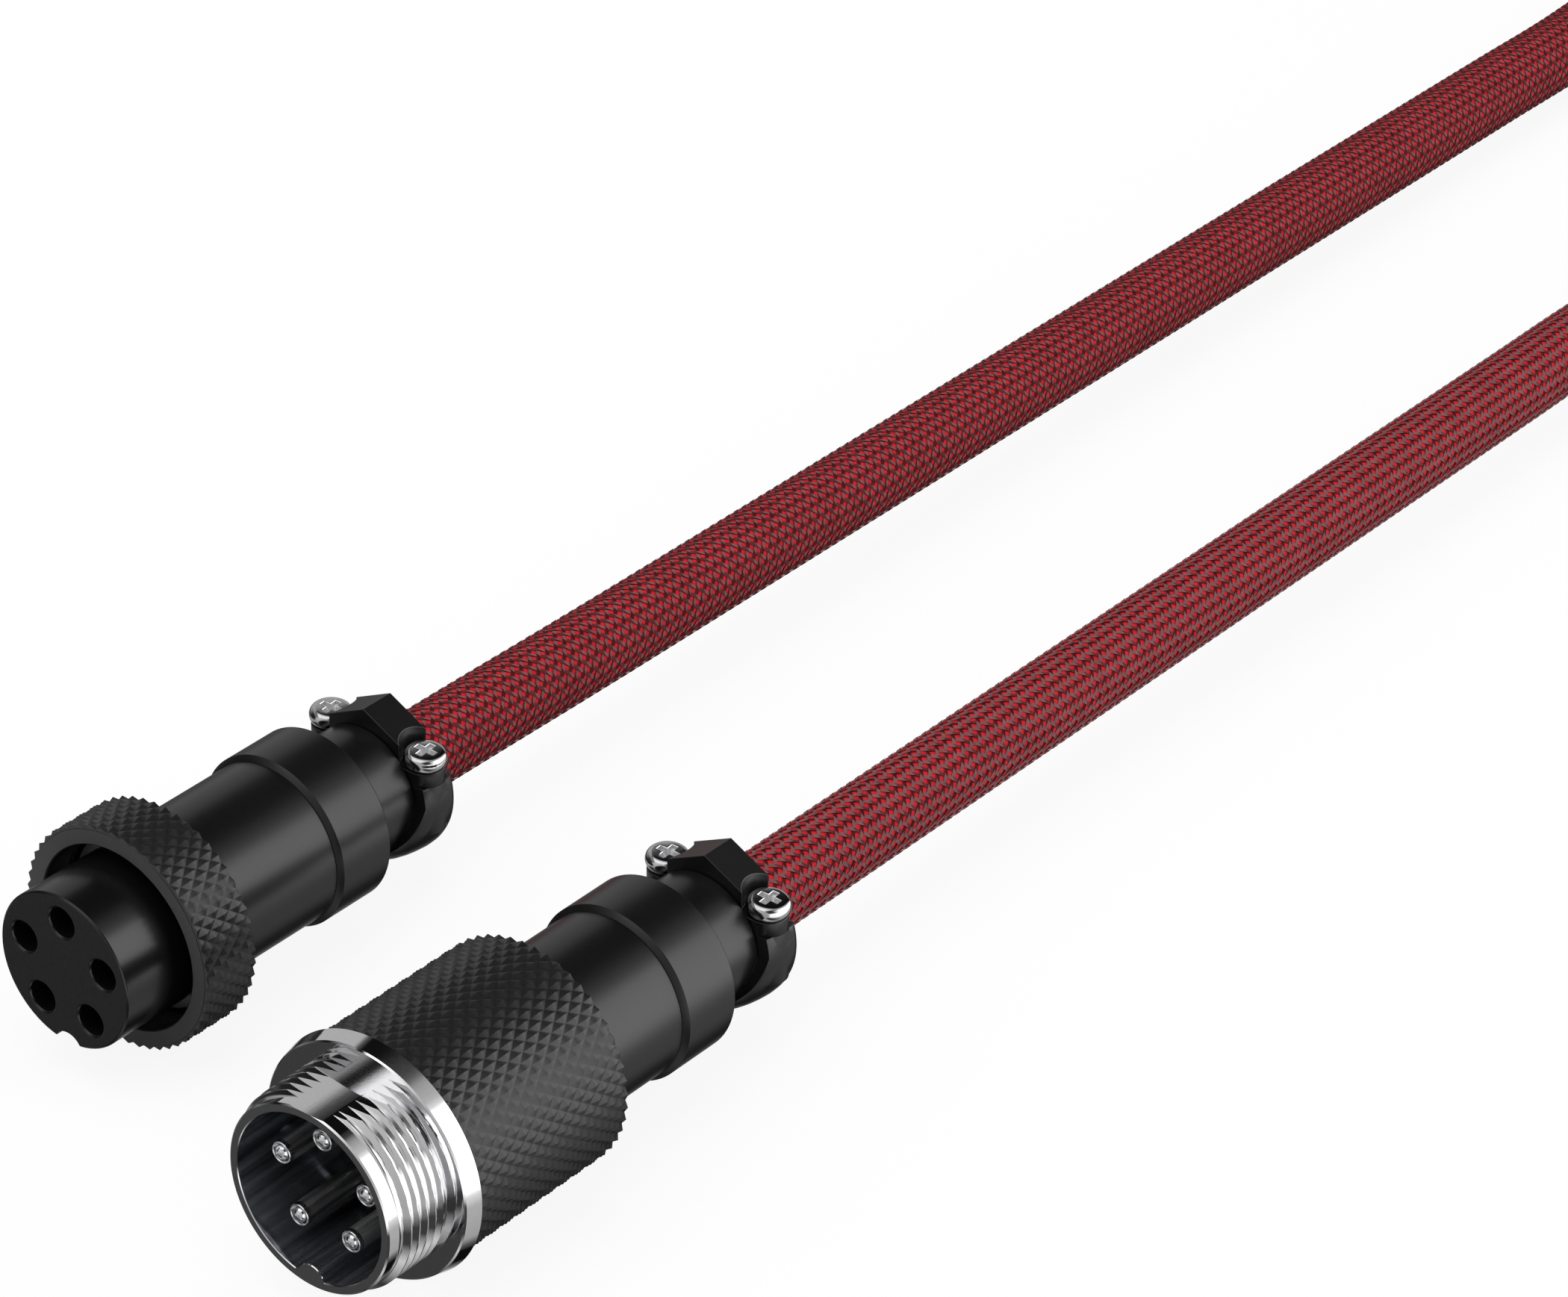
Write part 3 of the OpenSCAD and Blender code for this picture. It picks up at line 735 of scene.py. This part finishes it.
@dataclass
class ThreadedShell:
    """The pin plug's shell: rim, cut thread with a milled flat, flange, mouth and key."""

    sizes: Sizes = SIZES
    pitch: float = 0.85
    thread_end: float = 5.84
    run_in: float = 0.4
    run_out: float = 0.15
    root_share: float = 0.04
    flank_share: float = 0.84
    row_step: float = 0.03
    edge: float = 0.12
    back_edge: float = 0.08
    back_fall: float = 0.02
    lip: float = 0.06
    key_start: float = 0.01
    fine_step: float = 0.4
    coarse_step: float = 2.5
    beside_flat: float = 27.0
    beside_key: float = 167.5
    crown_rise: float = 0.02
    crown_fall: float = 0.15
    crown_half: float = 3.0

    def angles(self) -> list[float]:
        """Angles round the shell, closer together beside the flat and the key.

        Returns:
            The angles in radians.
        """
        out: list[float] = []
        here = -180.0
        while here < 180.0 - 1e-6:
            out.append(math.radians(here))
            close = abs(here) < self.beside_flat or abs(here) > self.beside_key
            here += self.fine_step if close else self.coarse_step
        return out

    def thread(self, x: float) -> Callable[[float], float]:
        """A ring on the thread, which climbs one pitch a turn and has straight flanks.

        Args:
            x: the ring's station behind the rim.

        Returns:
            The ring's radius by the angle.
        """
        root, crest = self.sizes.rim_d / 2, self.sizes.thread_d / 2
        fade_in = min(1.0, max(0.0, (x - self.sizes.rim_w) / self.run_in))
        fade_out = min(1.0, max(0.0, (self.thread_end - x) / self.run_out))

        def cut(angle: float) -> float:
            """The ring's radius at one place.

            Args:
                angle: the angle from the top.

            Returns:
                The radius.
            """
            turn = (x / self.pitch - angle / (2 * math.pi)) % 1.0
            rise = min(1.0, max(0.0, (1.0 - abs(2 * turn - 1.0) - self.root_share) / self.flank_share))
            return root + (crest - root) * rise * min(fade_in, fade_out)

        return cut

    def mill(self, shell: bpy.types.Object) -> None:
        """Mills the flat, which is very slightly crowned, into the thread and the rim.

        Args:
            shell: the shell, still in its own frame.
        """
        half, step, top = 4.5, 0.25, 12.0
        lanes = [-half + step * k for k in range(int(2 * half / step) + 1)]
        crest = self.sizes.flat_h + self.crown_rise
        outline = [(y, crest - self.crown_fall * (y / self.crown_half) ** 2) for y in lanes]
        outline += [(half, top), (-half, top)]
        points = [(x, y, z) for x in (-1.0, self.sizes.shell_reach) for y, z in outline]
        mesh = mesh_of("cutter", points, skin(2, len(outline)) + caps(2, len(outline)))
        face_outward(mesh)
        cutter = bpy.data.objects.new("cutter", mesh)
        bpy.context.scene.collection.objects.link(cutter)
        cut = shell.modifiers.new("flat", "BOOLEAN")
        cut.object, cut.operation, cut.solver = cutter, "DIFFERENCE", "EXACT"
        done = bpy.data.meshes.new_from_object(shell.evaluated_get(bpy.context.evaluated_depsgraph_get()))
        shell.modifiers.clear()
        shell.data = done
        bpy.data.objects.remove(cutter)

    def mouth(self, angle: float) -> float:
        """The mouth's radius, less the key that stands at its bottom.

        Args:
            angle: the angle from the top.

        Returns:
            The radius.
        """
        s = self.sizes
        bore = s.shell_bore_d / 2
        aside = s.key_h * math.sin(angle)
        if math.cos(angle) > 0 or abs(aside) >= s.key_r:
            return bore
        return min(bore, -s.key_h * math.cos(angle) - math.sqrt(s.key_r**2 - aside**2))

    def outside(self) -> list[tuple[float, Radius, ShellSide]]:
        """The rings from the rim's face over the thread and the flange to the spigot.

        Returns:
            Each ring's station, its radius and the finish of the stretch behind it.
        """
        s, plain = self.sizes, ShellSide.POLISHED
        rim, front, back = s.rim_d / 2, s.flange_d / 2 - s.flange_taper, s.flange_d / 2 - self.back_fall
        rings: list[tuple[float, Radius, ShellSide]] = [
            (0.0, lambda a: self.mouth(a) + self.lip, ShellSide.SATIN),
            (0.0, rim - self.edge, plain),
            (self.edge, rim, plain),
        ]
        x = s.rim_w
        while x < self.thread_end:
            rings.append((x, self.thread(x), plain))
            x += self.row_step
        return rings + [
            (self.thread_end, rim, plain),
            (s.shell_reach, rim, plain),
            (s.shell_reach, front - self.edge, plain),
            (s.shell_reach + self.edge, front, plain),
            (s.flange_end - self.back_edge, back, plain),
            (s.flange_end, back - self.back_edge, plain),
            (s.flange_end, s.shell_spigot_r, plain),
            (s.shell_end, s.shell_spigot_r, plain),
        ]

    def inside(self) -> list[tuple[float, Radius, ShellSide]]:
        """The rings from the shell's end forward through the bore, with the key, to the lip.

        Returns:
            Each ring's station, its radius and the finish of the stretch before it.
        """
        s, shaded_bore = self.sizes, ShellSide.SHADED_BORE
        return [
            (s.shell_end, s.shell_bore_d / 2, shaded_bore),
            (s.mouth_depth, s.shell_bore_d / 2, shaded_bore),
            (s.mouth_depth - self.key_start, self.mouth, shaded_bore),
            (self.lip, self.mouth, ShellSide.POLISHED),
        ]

    def build(self) -> None:
        """Builds the shell as one turned mesh with a finish for each stretch."""
        rings = self.outside() + self.inside()
        points, faces, starts = turned([(x, radius) for x, radius, _ in rings], self.angles())
        mesh = mesh_of("threaded_shell", points, faces, [int(rings[j][2]) for j in starts])
        face_outward(mesh)
        piece = link(mesh, [CHROME, SATIN_CHROME, BORE_SHADE_CHROME], "threaded_shell_piece")
        self.mill(piece)
        piece.data.transform(MALE.matrix())
        piece.data.update()
        smooth(piece.data, 15.0)
        settle(piece, "lead", CHROME, "threaded_shell")


@dataclass
class Pins:
    """The five pins, each with a dome and a turned ring at its tip and a solder cup behind.

    Places along a pin are counted from its tip, and those of the solder cup from the collar's front.
    """

    sizes: Sizes = SIZES
    sides: int = 40
    dome_r: float = 0.62
    dome_h: float = 0.5
    moat_depth: float = 0.56
    moat_in_r: float = 0.63
    moat_out_r: float = 0.735
    lip_start: float = 0.26
    lip_h: float = 0.14
    lip_r: float = 0.815
    lip_half_w: float = 0.075
    shaft_start: float = 0.66
    collar_r: float = 1.25
    collar_w: float = 0.8
    cup_r: float = 1.1
    cup_end: float = 4.4
    cup_bore_r: float = 0.75
    cup_floor: float = 1.6
    closed_r: float = 0.001

    def profile(self) -> Profile:
        """The pin's outline.

        Returns:
            Stations behind the shell's rim, with radii.
        """
        s = self.sizes
        tip, root, back = s.pin_tip, s.mouth_depth - s.pin_shoulder_w, s.pin_flange_end
        dome = [(tip + self.dome_h * (1 - math.cos(a)), max(self.closed_r, self.dome_r * math.sin(a)))
                for a in map(math.radians, range(0, 91, 9))]
        moat = [(tip + self.moat_depth, self.moat_in_r), (tip + self.moat_depth, self.moat_out_r)]
        lip_at = tip + self.lip_start
        lip = [(lip_at + self.lip_h * (1 - math.sin(a)), self.lip_r - self.lip_half_w * math.cos(a))
               for a in map(math.radians, range(0, 181, 20))]
        shaft = [(tip + self.shaft_start, s.pin_d / 2), (root, s.pin_d / 2), (root, s.pin_root_r),
                 (back, s.pin_root_r)]
        cup = [(back, self.collar_r), (back + self.collar_w, self.collar_r),
               (back + self.collar_w, self.cup_r), (back + self.cup_end, self.cup_r),
               (back + self.cup_end, self.cup_bore_r), (back + self.cup_floor, self.cup_bore_r),
               (back + self.cup_floor, self.closed_r)]
        return dome + moat + lip + shaft + cup

    def build(self) -> None:
        """Builds all five pins as one piece."""
        s = self.sizes
        profile = self.profile()
        angles = [2 * math.pi * k / self.sides for k in range(self.sides)]
        own, faces_of_one, starts = turned(profile, angles, closed=False)
        points: list[Point] = []
        faces: list[Face] = []
        for n in range(s.contacts):
            turn = 2 * math.pi * n / s.contacts
            y, z = math.sin(turn) * s.contact_circle_d / 2, math.cos(turn) * s.contact_circle_d / 2
            shift = len(points)
            points += [(p[0], p[1] + y, p[2] + z) for p in own]
            faces += [tuple(shift + k for k in f) for f in faces_of_one]
        kinds = [int(profile[j][0] >= s.pin_tip + self.shaft_start) for j in starts] * s.contacts
        mesh = mesh_of("contact_pins", points, faces, kinds)
        mesh.transform(MALE.matrix())
        mesh.update()
        smooth(mesh, 40.0)
        piece = link(mesh, [CHROME, SHAFT], "contact_pins_piece")
        settle(piece, "lead", CHROME, "contact_pins")


@dataclass
class ClampScrews:
    """The two pan-head cross-recess screws of one clamp.

    Each step of the recess is given by how much wider than the cross it is, its scale and its depth.
    """

    frame: PlugFrame
    barrel_end: float
    node: str
    leans: tuple[float, float]
    head_r: float = 1.73
    flat_r: float = 1.2
    recess_r: float = 0.9
    arm_w: float = 0.54
    recess: tuple[tuple[float, float, float], ...] = (
        (0.035, 1.0, 0.0), (0.0, 1.0, 0.04), (-0.03, 1.0, 0.3), (-0.1, 0.62, 0.62))
    point_depth: float = 0.74
    shank_share: float = 0.28
    shank_end: float = -4.6
    lower: float = 0.1
    turn: float = 4.0

    def cross(self, angle: float, grow: float) -> float:
        """The recess's reach at an angle from its first arm.

        Args:
            angle: the angle in radians.
            grow: how much wider and longer the cross is.

        Returns:
            The distance from the screw's axis to the cross's outline.
        """
        quarter = math.pi / 2
        off = abs((angle + quarter / 2) % quarter - quarter / 2)
        reach, half = self.recess_r + grow, self.arm_w / 2 + grow
        return reach / math.cos(off) if math.tan(off) <= half / reach else half / math.sin(off)

    def angles(self) -> list[float]:
        """Angles round the head, with the cross's own corners among them.

        Returns:
            The angles in radians, from 0 up.
        """
        whole, apart = 2 * math.pi, 0.04
        corner = math.atan2(self.arm_w / 2, self.recess_r)
        own = [k * math.pi / 4 for k in range(8)]
        own += [k * math.pi / 2 + side * corner for k in range(4) for side in (-1, 1)]
        even = [k * math.pi / 24 + 0.01 for k in range(48)]
        keep = own + [a for a in even if min(abs((a - b + math.pi) % whole - math.pi) for b in own) > apart]
        return sorted(a % whole for a in keep)

    def inset(self, grow: float, share: float) -> Callable[[float], float]:
        """The outline of one step of the recess, as its reach by the angle."""
        return lambda angle: share * self.cross(angle, grow)

    def head(self) -> tuple[list[Point], list[Face], list[int]]:
        """One head about z, with its seat at z = 0, on a plain shank.

        Returns:
            Points, faces and the number of each face's finish.
        """
        top = SIZES.screw_head_h - self.lower
        wide, shank_r = self.head_r - self.flat_r, SIZES.screw_head_d * self.shank_share
        rings: list[tuple[float, Radius]] = [(self.shank_end, shank_r), (0.0, shank_r)]
        rings += [((1 + math.sin(a)) * top / 2, self.flat_r + math.cos(a) * wide)
                  for a in map(math.radians, range(-80, 91, 10))]
        rings += [(top - depth, self.inset(grow, share)) for grow, share, depth in self.recess]
        turns = self.angles()
        points: list[Point] = []
        for z, radius in rings:
            reach = [radius(a) if callable(radius) else radius for a in turns]
            points += [(r * math.cos(a), r * math.sin(a), z) for r, a in zip(reach, turns)]
        count = len(turns)
        last = (len(rings) - 1) * count
        faces = skin(len(rings), count)
        faces += [(last + i, last + (i + 1) % count, len(points)) for i in range(count)]
        points.append((0.0, 0.0, top - self.point_depth))
        recess_from = (len(rings) - len(self.recess) + 1) * count
        kinds = [int(k >= recess_from) for k in range(len(faces))] + [0]
        faces.append(tuple(reversed(range(count))))
        return points, faces, kinds

    def build(self) -> None:
        """Builds both screws as one piece."""
        s = SIZES
        own, faces_of_one, kinds = self.head()
        points: list[Point] = []
        faces: list[Face] = []
        for side, lean in zip((-1, 1), self.leans):
            place = Matrix.Translation((self.barrel_end + s.clamp_mid, side * s.screw_offset, s.screw_seat))
            place = place @ Matrix.Rotation(math.radians(lean), 4, "X")
            place = place @ Matrix.Rotation(math.radians(self.turn), 4, "Z")
            start = len(points)
            points += [tuple(place @ Vector(p)) for p in own]
            faces += [tuple(start + k for k in f) for f in faces_of_one]
        mesh = mesh_of(self.node, points, faces, kinds * 2)
        mesh.transform(self.frame.matrix())
        mesh.update()
        smooth(mesh, 25.0)
        settle(link(mesh, [DARK_CHROME, RECESS], f"{self.node}_piece"), "lead", DARK_CHROME, self.node)


# ------------------------------------------------------------------ cord


@dataclass(frozen=True)
class BraidFinish:
    """One yarn of the braid: its colour, its sheen and its fine fibres."""

    name: str
    colour: Point
    slot: str = "braid_red"
    dark: float = 0.68
    light: float = 1.25
    fibre_scale: float = 9000.0
    patch_scale: float = 700.0
    fibre_share: float = 0.6
    relief: float = 0.35
    roughness: float = 0.7
    specular: float = 0.12

    def build(self) -> bpy.types.Material:
        """Writes the material.

        Returns:
            The material.
        """
        material = bpy.data.materials.new(self.name)
        tree = Tree(material)
        fibres = tree.noise(tree.place(), self.fibre_scale, 2.0)
        patches = tree.noise(tree.place(), self.patch_scale, 2.0)
        fine = tree.math("MULTIPLY", fibres, self.fibre_share)
        both = tree.math("ADD", fine, tree.math("MULTIPLY", patches, 1 - self.fibre_share))
        dark = tuple(c * self.dark for c in self.colour) + (1.0,)
        light = tuple(min(1.0, c * self.light) for c in self.colour) + (1.0,)
        colour = tree.ramp(both, [(0.3, dark), (0.7, light)])
        bump = tree.node("ShaderNodeBump", Height=fibres, Strength=self.relief, Distance=0.00005)
        shader = tree.node("ShaderNodeBsdfPrincipled", Base_Color=colour, Normal=bump)
        shader.inputs["Roughness"].default_value = self.roughness
        shader.inputs["Specular IOR Level"].default_value = self.specular
        tree.output("ShaderNodeOutputMaterial", shader)
        return material


class Yarn(IntEnum):
    """The braid's yarns, by the number of their finish."""

    RED = 0
    MAROON = 1
    MAUVE = 2
    DUSKY = 3


YARNS = (
    BraidFinish("red_yarn", (0.5, 0.018, 0.026)),
    BraidFinish("maroon_yarn", (0.055, 0.0045, 0.006)),
    BraidFinish("mauve_yarn", (0.185, 0.072, 0.076)),
    BraidFinish("dusky_yarn", (0.088, 0.021, 0.023)),
)
TIE_FINISH = Finish("woven_tie", "strap_black", (0.012, 0.012, 0.013), roughness=0.7, relief=0.6,
                    scale=2200.0)


def ease(x: float) -> float:
    """Goes smoothly from 0 to 1, and stays there outside its run."""
    x = min(1.0, max(0.0, x))
    return x * x * (3 - 2 * x)


@dataclass
class Tie:
    """The woven tie: a strap round the four runs of the hank, with its end over its beginning."""

    centre: Point = (302.5, -24.3, 7.7)
    half: float = 3.7
    corner_r: float = 3.7
    width: float = 12.0
    thickness: float = 0.5
    overlap: float = 9.0
    step: float = 0.5
    rise_run: float = 3.0
    rise_share: float = 1.04
    seam: Profile = ((0.0, -0.6), (0.0, 0.6), (0.5, 1.0), (1.0, 0.8))
    under_in: float = 0.4

    def section(self) -> Profile:
        """The strap's section, with a raised seam along each edge.

        Returns:
            Places across the strap in millimetres, with heights in half thicknesses.
        """
        half = self.width / 2
        left = [(-half + x, t) for x, t in self.seam]
        middle = [(0.0, self.seam[-1][1])]
        right = [(half - x, t) for x, t in reversed(self.seam)]
        under = [(half - self.under_in, -1.0), (-half + self.under_in, -1.0)]
        return left + middle + right + under

    def loop_point(self, way: float) -> tuple[float, float, float, float]:
        """A point of the strap's middle line.

        Args:
            way: how far it is along the loop, from the middle of the top.

        Returns:
            Across and up from the centre, and the outward direction.
        """
        side, bend = 2 * self.half, math.pi / 2 * self.corner_r
        left = way + self.half
        for k in range(8):
            turn = math.pi / 2 * k
            out = math.pi / 2 - turn
            if left <= side:
                y, z = left - self.half, self.half + self.corner_r
                break
            left -= side
            if left <= bend:
                out -= left / self.corner_r
                own = math.pi / 2 - left / self.corner_r
                y, z = self.half + self.corner_r * math.cos(own), self.half + self.corner_r * math.sin(own)
                break
            left -= bend
        back = -turn
        return (y * math.cos(back) - z * math.sin(back), y * math.sin(back) + z * math.cos(back),
                math.cos(out), math.sin(out))

    def build(self) -> bpy.types.Object:
        """Builds the strap as one piece.

        Returns:
            The piece.
        """
        around = 8 * self.half + 2 * math.pi * self.corner_r
        whole, section = around + self.overlap, self.section()
        count = int(whole / self.step)
        mid_x, mid_y, mid_z = self.centre
        points: list[Point] = []
        for i in range(count + 1):
            way = whole * i / count
            lift = self.thickness * self.rise_share * ease((way - around + self.rise_run) / self.rise_run)
            y, z, out_y, out_z = self.loop_point(way)
            for x, t in section:
                r = lift + t * self.thickness / 2
                points.append((mid_x + x, mid_y + y + out_y * r, mid_z + z + out_z * r))
        faces = skin(count + 1, len(section)) + caps(count + 1, len(section))
        mesh = mesh_of("woven_tie", points, faces)
        mesh.transform(Matrix.Scale(MM, 4))
        mesh.update()
        smooth(mesh, 50.0)
        piece = link(mesh, [TIE_FINISH], "woven_tie")
        settle(piece, "lead", TIE_FINISH, "hank_tie")
        return piece


@dataclass
class Cord:
    """The braided cord: out of the socket plug's clamp, round the hank and into the pin plug's clamp."""

    sizes: Sizes = SIZES
    plug_straight: tuple[float, ...] = (30.4, 37, 46, 55, 64, 82, 100, 118, 136, 154, 172, 190, 202)
    plug_bend: tuple[Point, ...] = (
        (198, 17.6, 3.9), (208, 20.2, 4.1), (218, 23.6, 4.7), (228, 26.4, 5.8), (238, 27.7, 7.4),
        (248, 28, 9.2), (257, 28, 10.6), (266, 28, 11.3), (276, 28, 11.3))
    male_straight: tuple[float, ...] = (40.8, 56, 72, 88, 104, 120, 136, 152, 164)
    male_bend: tuple[Point, ...] = (
        (152, -16.8, 5.2), (166, -17.8, 4.8), (180, -20.1, 4.4), (194, -23.2, 4.1), (208, -26.1, 4),
        (222, -27.6, 4), (236, -28, 4), (250, -28, 4))
    hank_at: Point = (238, 0, 4)
    hank_r: float = 20.6
    hank_run: float = 75.0
    lane_gap: float = 7.4
    bend_lanes: tuple[tuple[int, int], ...] = ((1, 0), (0, 0), (0, 0), (0, 1), (0, 1), (0, 2), (1, 1))
    move_share: float = 0.6
    swing_run: int = 5
    swing_end: float = 0.7
    sag: tuple[float, float, float] = (0.2, 37.0, 27.0)
    strands: int = 20
    row: float = 0.52
    strand_w: float = 0.42
    lift: float = 0.13
    tuck: float = 0.02
    sides: int = 30
    thin: int = 3
    dense_step: float = 0.4
    last_share: float = 0.2

    def lane(self, run: int, share: float) -> tuple[float, float]:
        """The column and the layer that the cord has reached on a run.

        Args:
            run: the run's number.
            share: how far along the run it is, from 0 to 1.

        Returns:
            Column and layer.
        """
        if run == 0:
            return 1 - ease((share - 1 + self.move_share) / self.move_share), 0.0
        if run == self.swing_run:
            swing = math.pi / 2 * ease(share / self.swing_end)
            return math.sin(swing), 1 + math.cos(swing)
        here, there = self.bend_lanes[run], self.bend_lanes[run + 1]
        moved = ease(share / self.move_share)
        return here[0] + (there[0] - here[0]) * moved, here[1] + (there[1] - here[1]) * moved

    def hank(self) -> list[Vector]:
        """The hank: bends at its two ends, with a run after each but the last.

        Returns:
            Its points, from the pin plug's side, in millimetres.
        """
        line: list[Vector] = []
        for k, (column, layer) in enumerate(self.bend_lanes):
            side = 1 if k % 2 == 0 else -1
            radius = self.hank_r + self.lane_gap * column
            for a in (math.radians(d) for d in range(0, 181, 15)):
                x = max(0, side) * self.hank_run + side * radius * math.sin(a)
                line.append(Vector((x, -side * radius * math.cos(a), self.lane_gap * layer)))
            for share in (i / 10 for i in range(1, 10) if k < len(self.bend_lanes) - 1):
                column, layer = self.lane(k, share)
                x = self.hank_run * (1 - share if side > 0 else share)
                line.append(Vector((x, side * (self.hank_r + self.lane_gap * column), self.lane_gap * layer)))
        return [Vector(self.hank_at) + p for p in line]

    def route(self) -> list[Vector]:
        """The cord's line from the socket plug to the pin plug.

        Returns:
            Its points in millimetres.
        """
        depth, start, run = self.sag
        line = [PLUG.along(d, depth * ease((d - start) / run)) for d in self.plug_straight]
        line += [Vector(p) for p in self.plug_bend]
        line += reversed(self.hank())
        line += [Vector(p) for p in reversed(self.male_bend)]
        line += [MALE.along(d) for d in reversed(self.male_straight)]
        return line

    def fine_line(self, step: float) -> list[Vector]:
        """The route as evenly spaced points on a smooth curve.

        Args:
            step: spacing in millimetres.

        Returns:
            The points.
        """
        line = self.route()
        dense: list[Vector] = []
        for i in range(len(line) - 1):
            p0, p1, p2 = line[max(0, i - 1)], line[i], line[i + 1]
            p3 = line[min(len(line) - 1, i + 2)]
            span = (p2 - p1).length
            m1 = (p2 - p0) * (span / max(1e-6, (p2 - p0).length))
            m2 = (p3 - p1) * (span / max(1e-6, (p3 - p1).length))
            pieces = max(2, int(span / self.dense_step))
            for k in range(pieces):
                t = k / pieces
                dense.append((2 * t**3 - 3 * t**2 + 1) * p1 + (t**3 - 2 * t**2 + t) * m1
                             + (-2 * t**3 + 3 * t**2) * p2 + (t**3 - t**2) * m2)
        dense.append(line[-1])
        out, need = [dense[0]], step
        for a, b in zip(dense, dense[1:]):
            gap = (b - a).length
            while gap >= need:
                a = a + (b - a) * (need / gap)
                out.append(a)
                gap, need = (b - a).length, step
            need -= gap
        if (dense[-1] - out[-1]).length > self.last_share * step:
            out.append(dense[-1])
        return out

    def frames(self, line: Sequence[Vector]) -> list[Axes]:
        """Carries two directions along the line without twist.

        Args:
            line: the line's points.

        Returns:
            Each point with a sideways and an upward direction.
        """
        out: list[Axes] = []
        up = Vector((0, 0, 1))
        for i, p in enumerate(line):
            ahead = (line[min(i + 1, len(line) - 1)] - line[max(i - 1, 0)]).normalized()
            up = (up - ahead * up.dot(ahead)).normalized()
            out.append((p, ahead.cross(up), up))
        return out

    def core(self, frames: Sequence[Axes], radius: float) -> tuple[list[Point], list[Face]]:
        """The red ground of the braid as a closed tube.

        Args:
            frames: the line with its directions.
            radius: the tube's radius.

        Returns:
            Points and faces.
        """
        n = self.sides
        angles = [2 * math.pi * k / n for k in range(n)]
        turns = [(math.cos(a) * radius, math.sin(a) * radius) for a in angles]
        points = [tuple(p + s * c + u * w) for p, s, u in frames for c, w in turns]
        return points, skin(len(frames), n) + caps(len(frames), n)

    def strand_points(self, frames: Sequence[Axes], core_r: float) -> list[Point]:
        """The edges of both sets of strands, which lie on and under each other by turns.

        Args:
            frames: the line with its directions, a row of crossings at each point.
            core_r: the ground's radius.

        Returns:
            Four points for each strand and row: both sets' at one edge, then both at the other.
        """
        half = self.strand_w / 2 / (self.sizes.cord_d / 2)
        pitch = 2 * math.pi / self.strands
        points: list[Point] = []
        for i, (p, s, u) in enumerate(frames):
            high, low = core_r + self.lift, core_r + self.tuck
            first, second = (high, low) if i % 2 == 0 else (low, high)
            for n in range(self.strands):
                middle = pitch * (n + i / 2)
                for angle in (middle - half, middle + half):
                    way = s * math.cos(angle) + u * math.sin(angle)
                    points += [tuple(p + way * first), tuple(p + way * second)]
        return points

    def weave(self, rows: int, start: int) -> tuple[list[Face], list[Yarn]]:
        """The faces of both sets of strands, with a yarn that changes from row to row.

        Args:
            rows: how many rows of points there are.
            start: the number of the first point.

        Returns:
            Faces and yarns.
        """
        stride = 4 * self.strands
        faces: list[Face] = []
        yarns: list[Yarn] = []
        for i in range(rows - 1):
            pair = (Yarn.MAUVE, Yarn.DUSKY) if i % 2 == 0 else (Yarn.MAROON, Yarn.MAUVE)
            for n in range(self.strands):
                a, b = start + i * stride + 4 * n, start + (i + 1) * stride + 4 * n
                faces.append((a, a + 2, b + 2, b))
                b = start + (i + 1) * stride + 4 * ((n - 1) % self.strands)
                faces.append((a + 1, a + 3, b + 3, b + 1))
                yarns += pair
        return faces, yarns

    def build(self, tie: bpy.types.Object) -> None:
        """Builds the red ground and two crossing sets of strands, over and under by turns, as one piece.

        Args:
            tie: the strap that holds the hank; not used.
        """
        line = self.fine_line(self.row)
        frames = self.frames(line)
        core_r = self.sizes.cord_d / 2 - self.lift
        short = frames[::self.thin]
        if short[-1] is not frames[-1]:
            short.append(frames[-1])
        points, faces = self.core(short, core_r)
        woven, yarns = self.weave(len(frames), len(points))
        kinds = [Yarn.RED] * len(faces) + yarns
        faces += woven
        points += self.strand_points(frames, core_r)
        mesh = mesh_of("braided_cord", points, faces, [int(kind) for kind in kinds])
        mesh.transform(Matrix.Scale(MM, 4))
        mesh.update()
        mesh.shade_smooth()
        piece = link(mesh, YARNS, "braided_cord")
        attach(piece, "lead")
        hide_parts("plug_side_cord", "cord_hank", "male_side_cord")


# ------------------------------------------------------------------ making


def main() -> None:
    """Builds the studio, the cord and the plugs."""
    logging.basicConfig(level=logging.INFO, format="%(message)s")
    Studio().build()
    Cord().build(Tie().build())
    PlainPieces().build()
    ClampScrews(PLUG, SIZES.plug_barrel_end, "plug_clamp_screws", (3.5, 2.0)).build()
    ClampScrews(MALE, SIZES.male_barrel_end, "male_clamp_screws", (3.8, 2.6)).build()
    ThreadedShell().build()
    Pins().build()


if __name__ == "__main__":
    main()
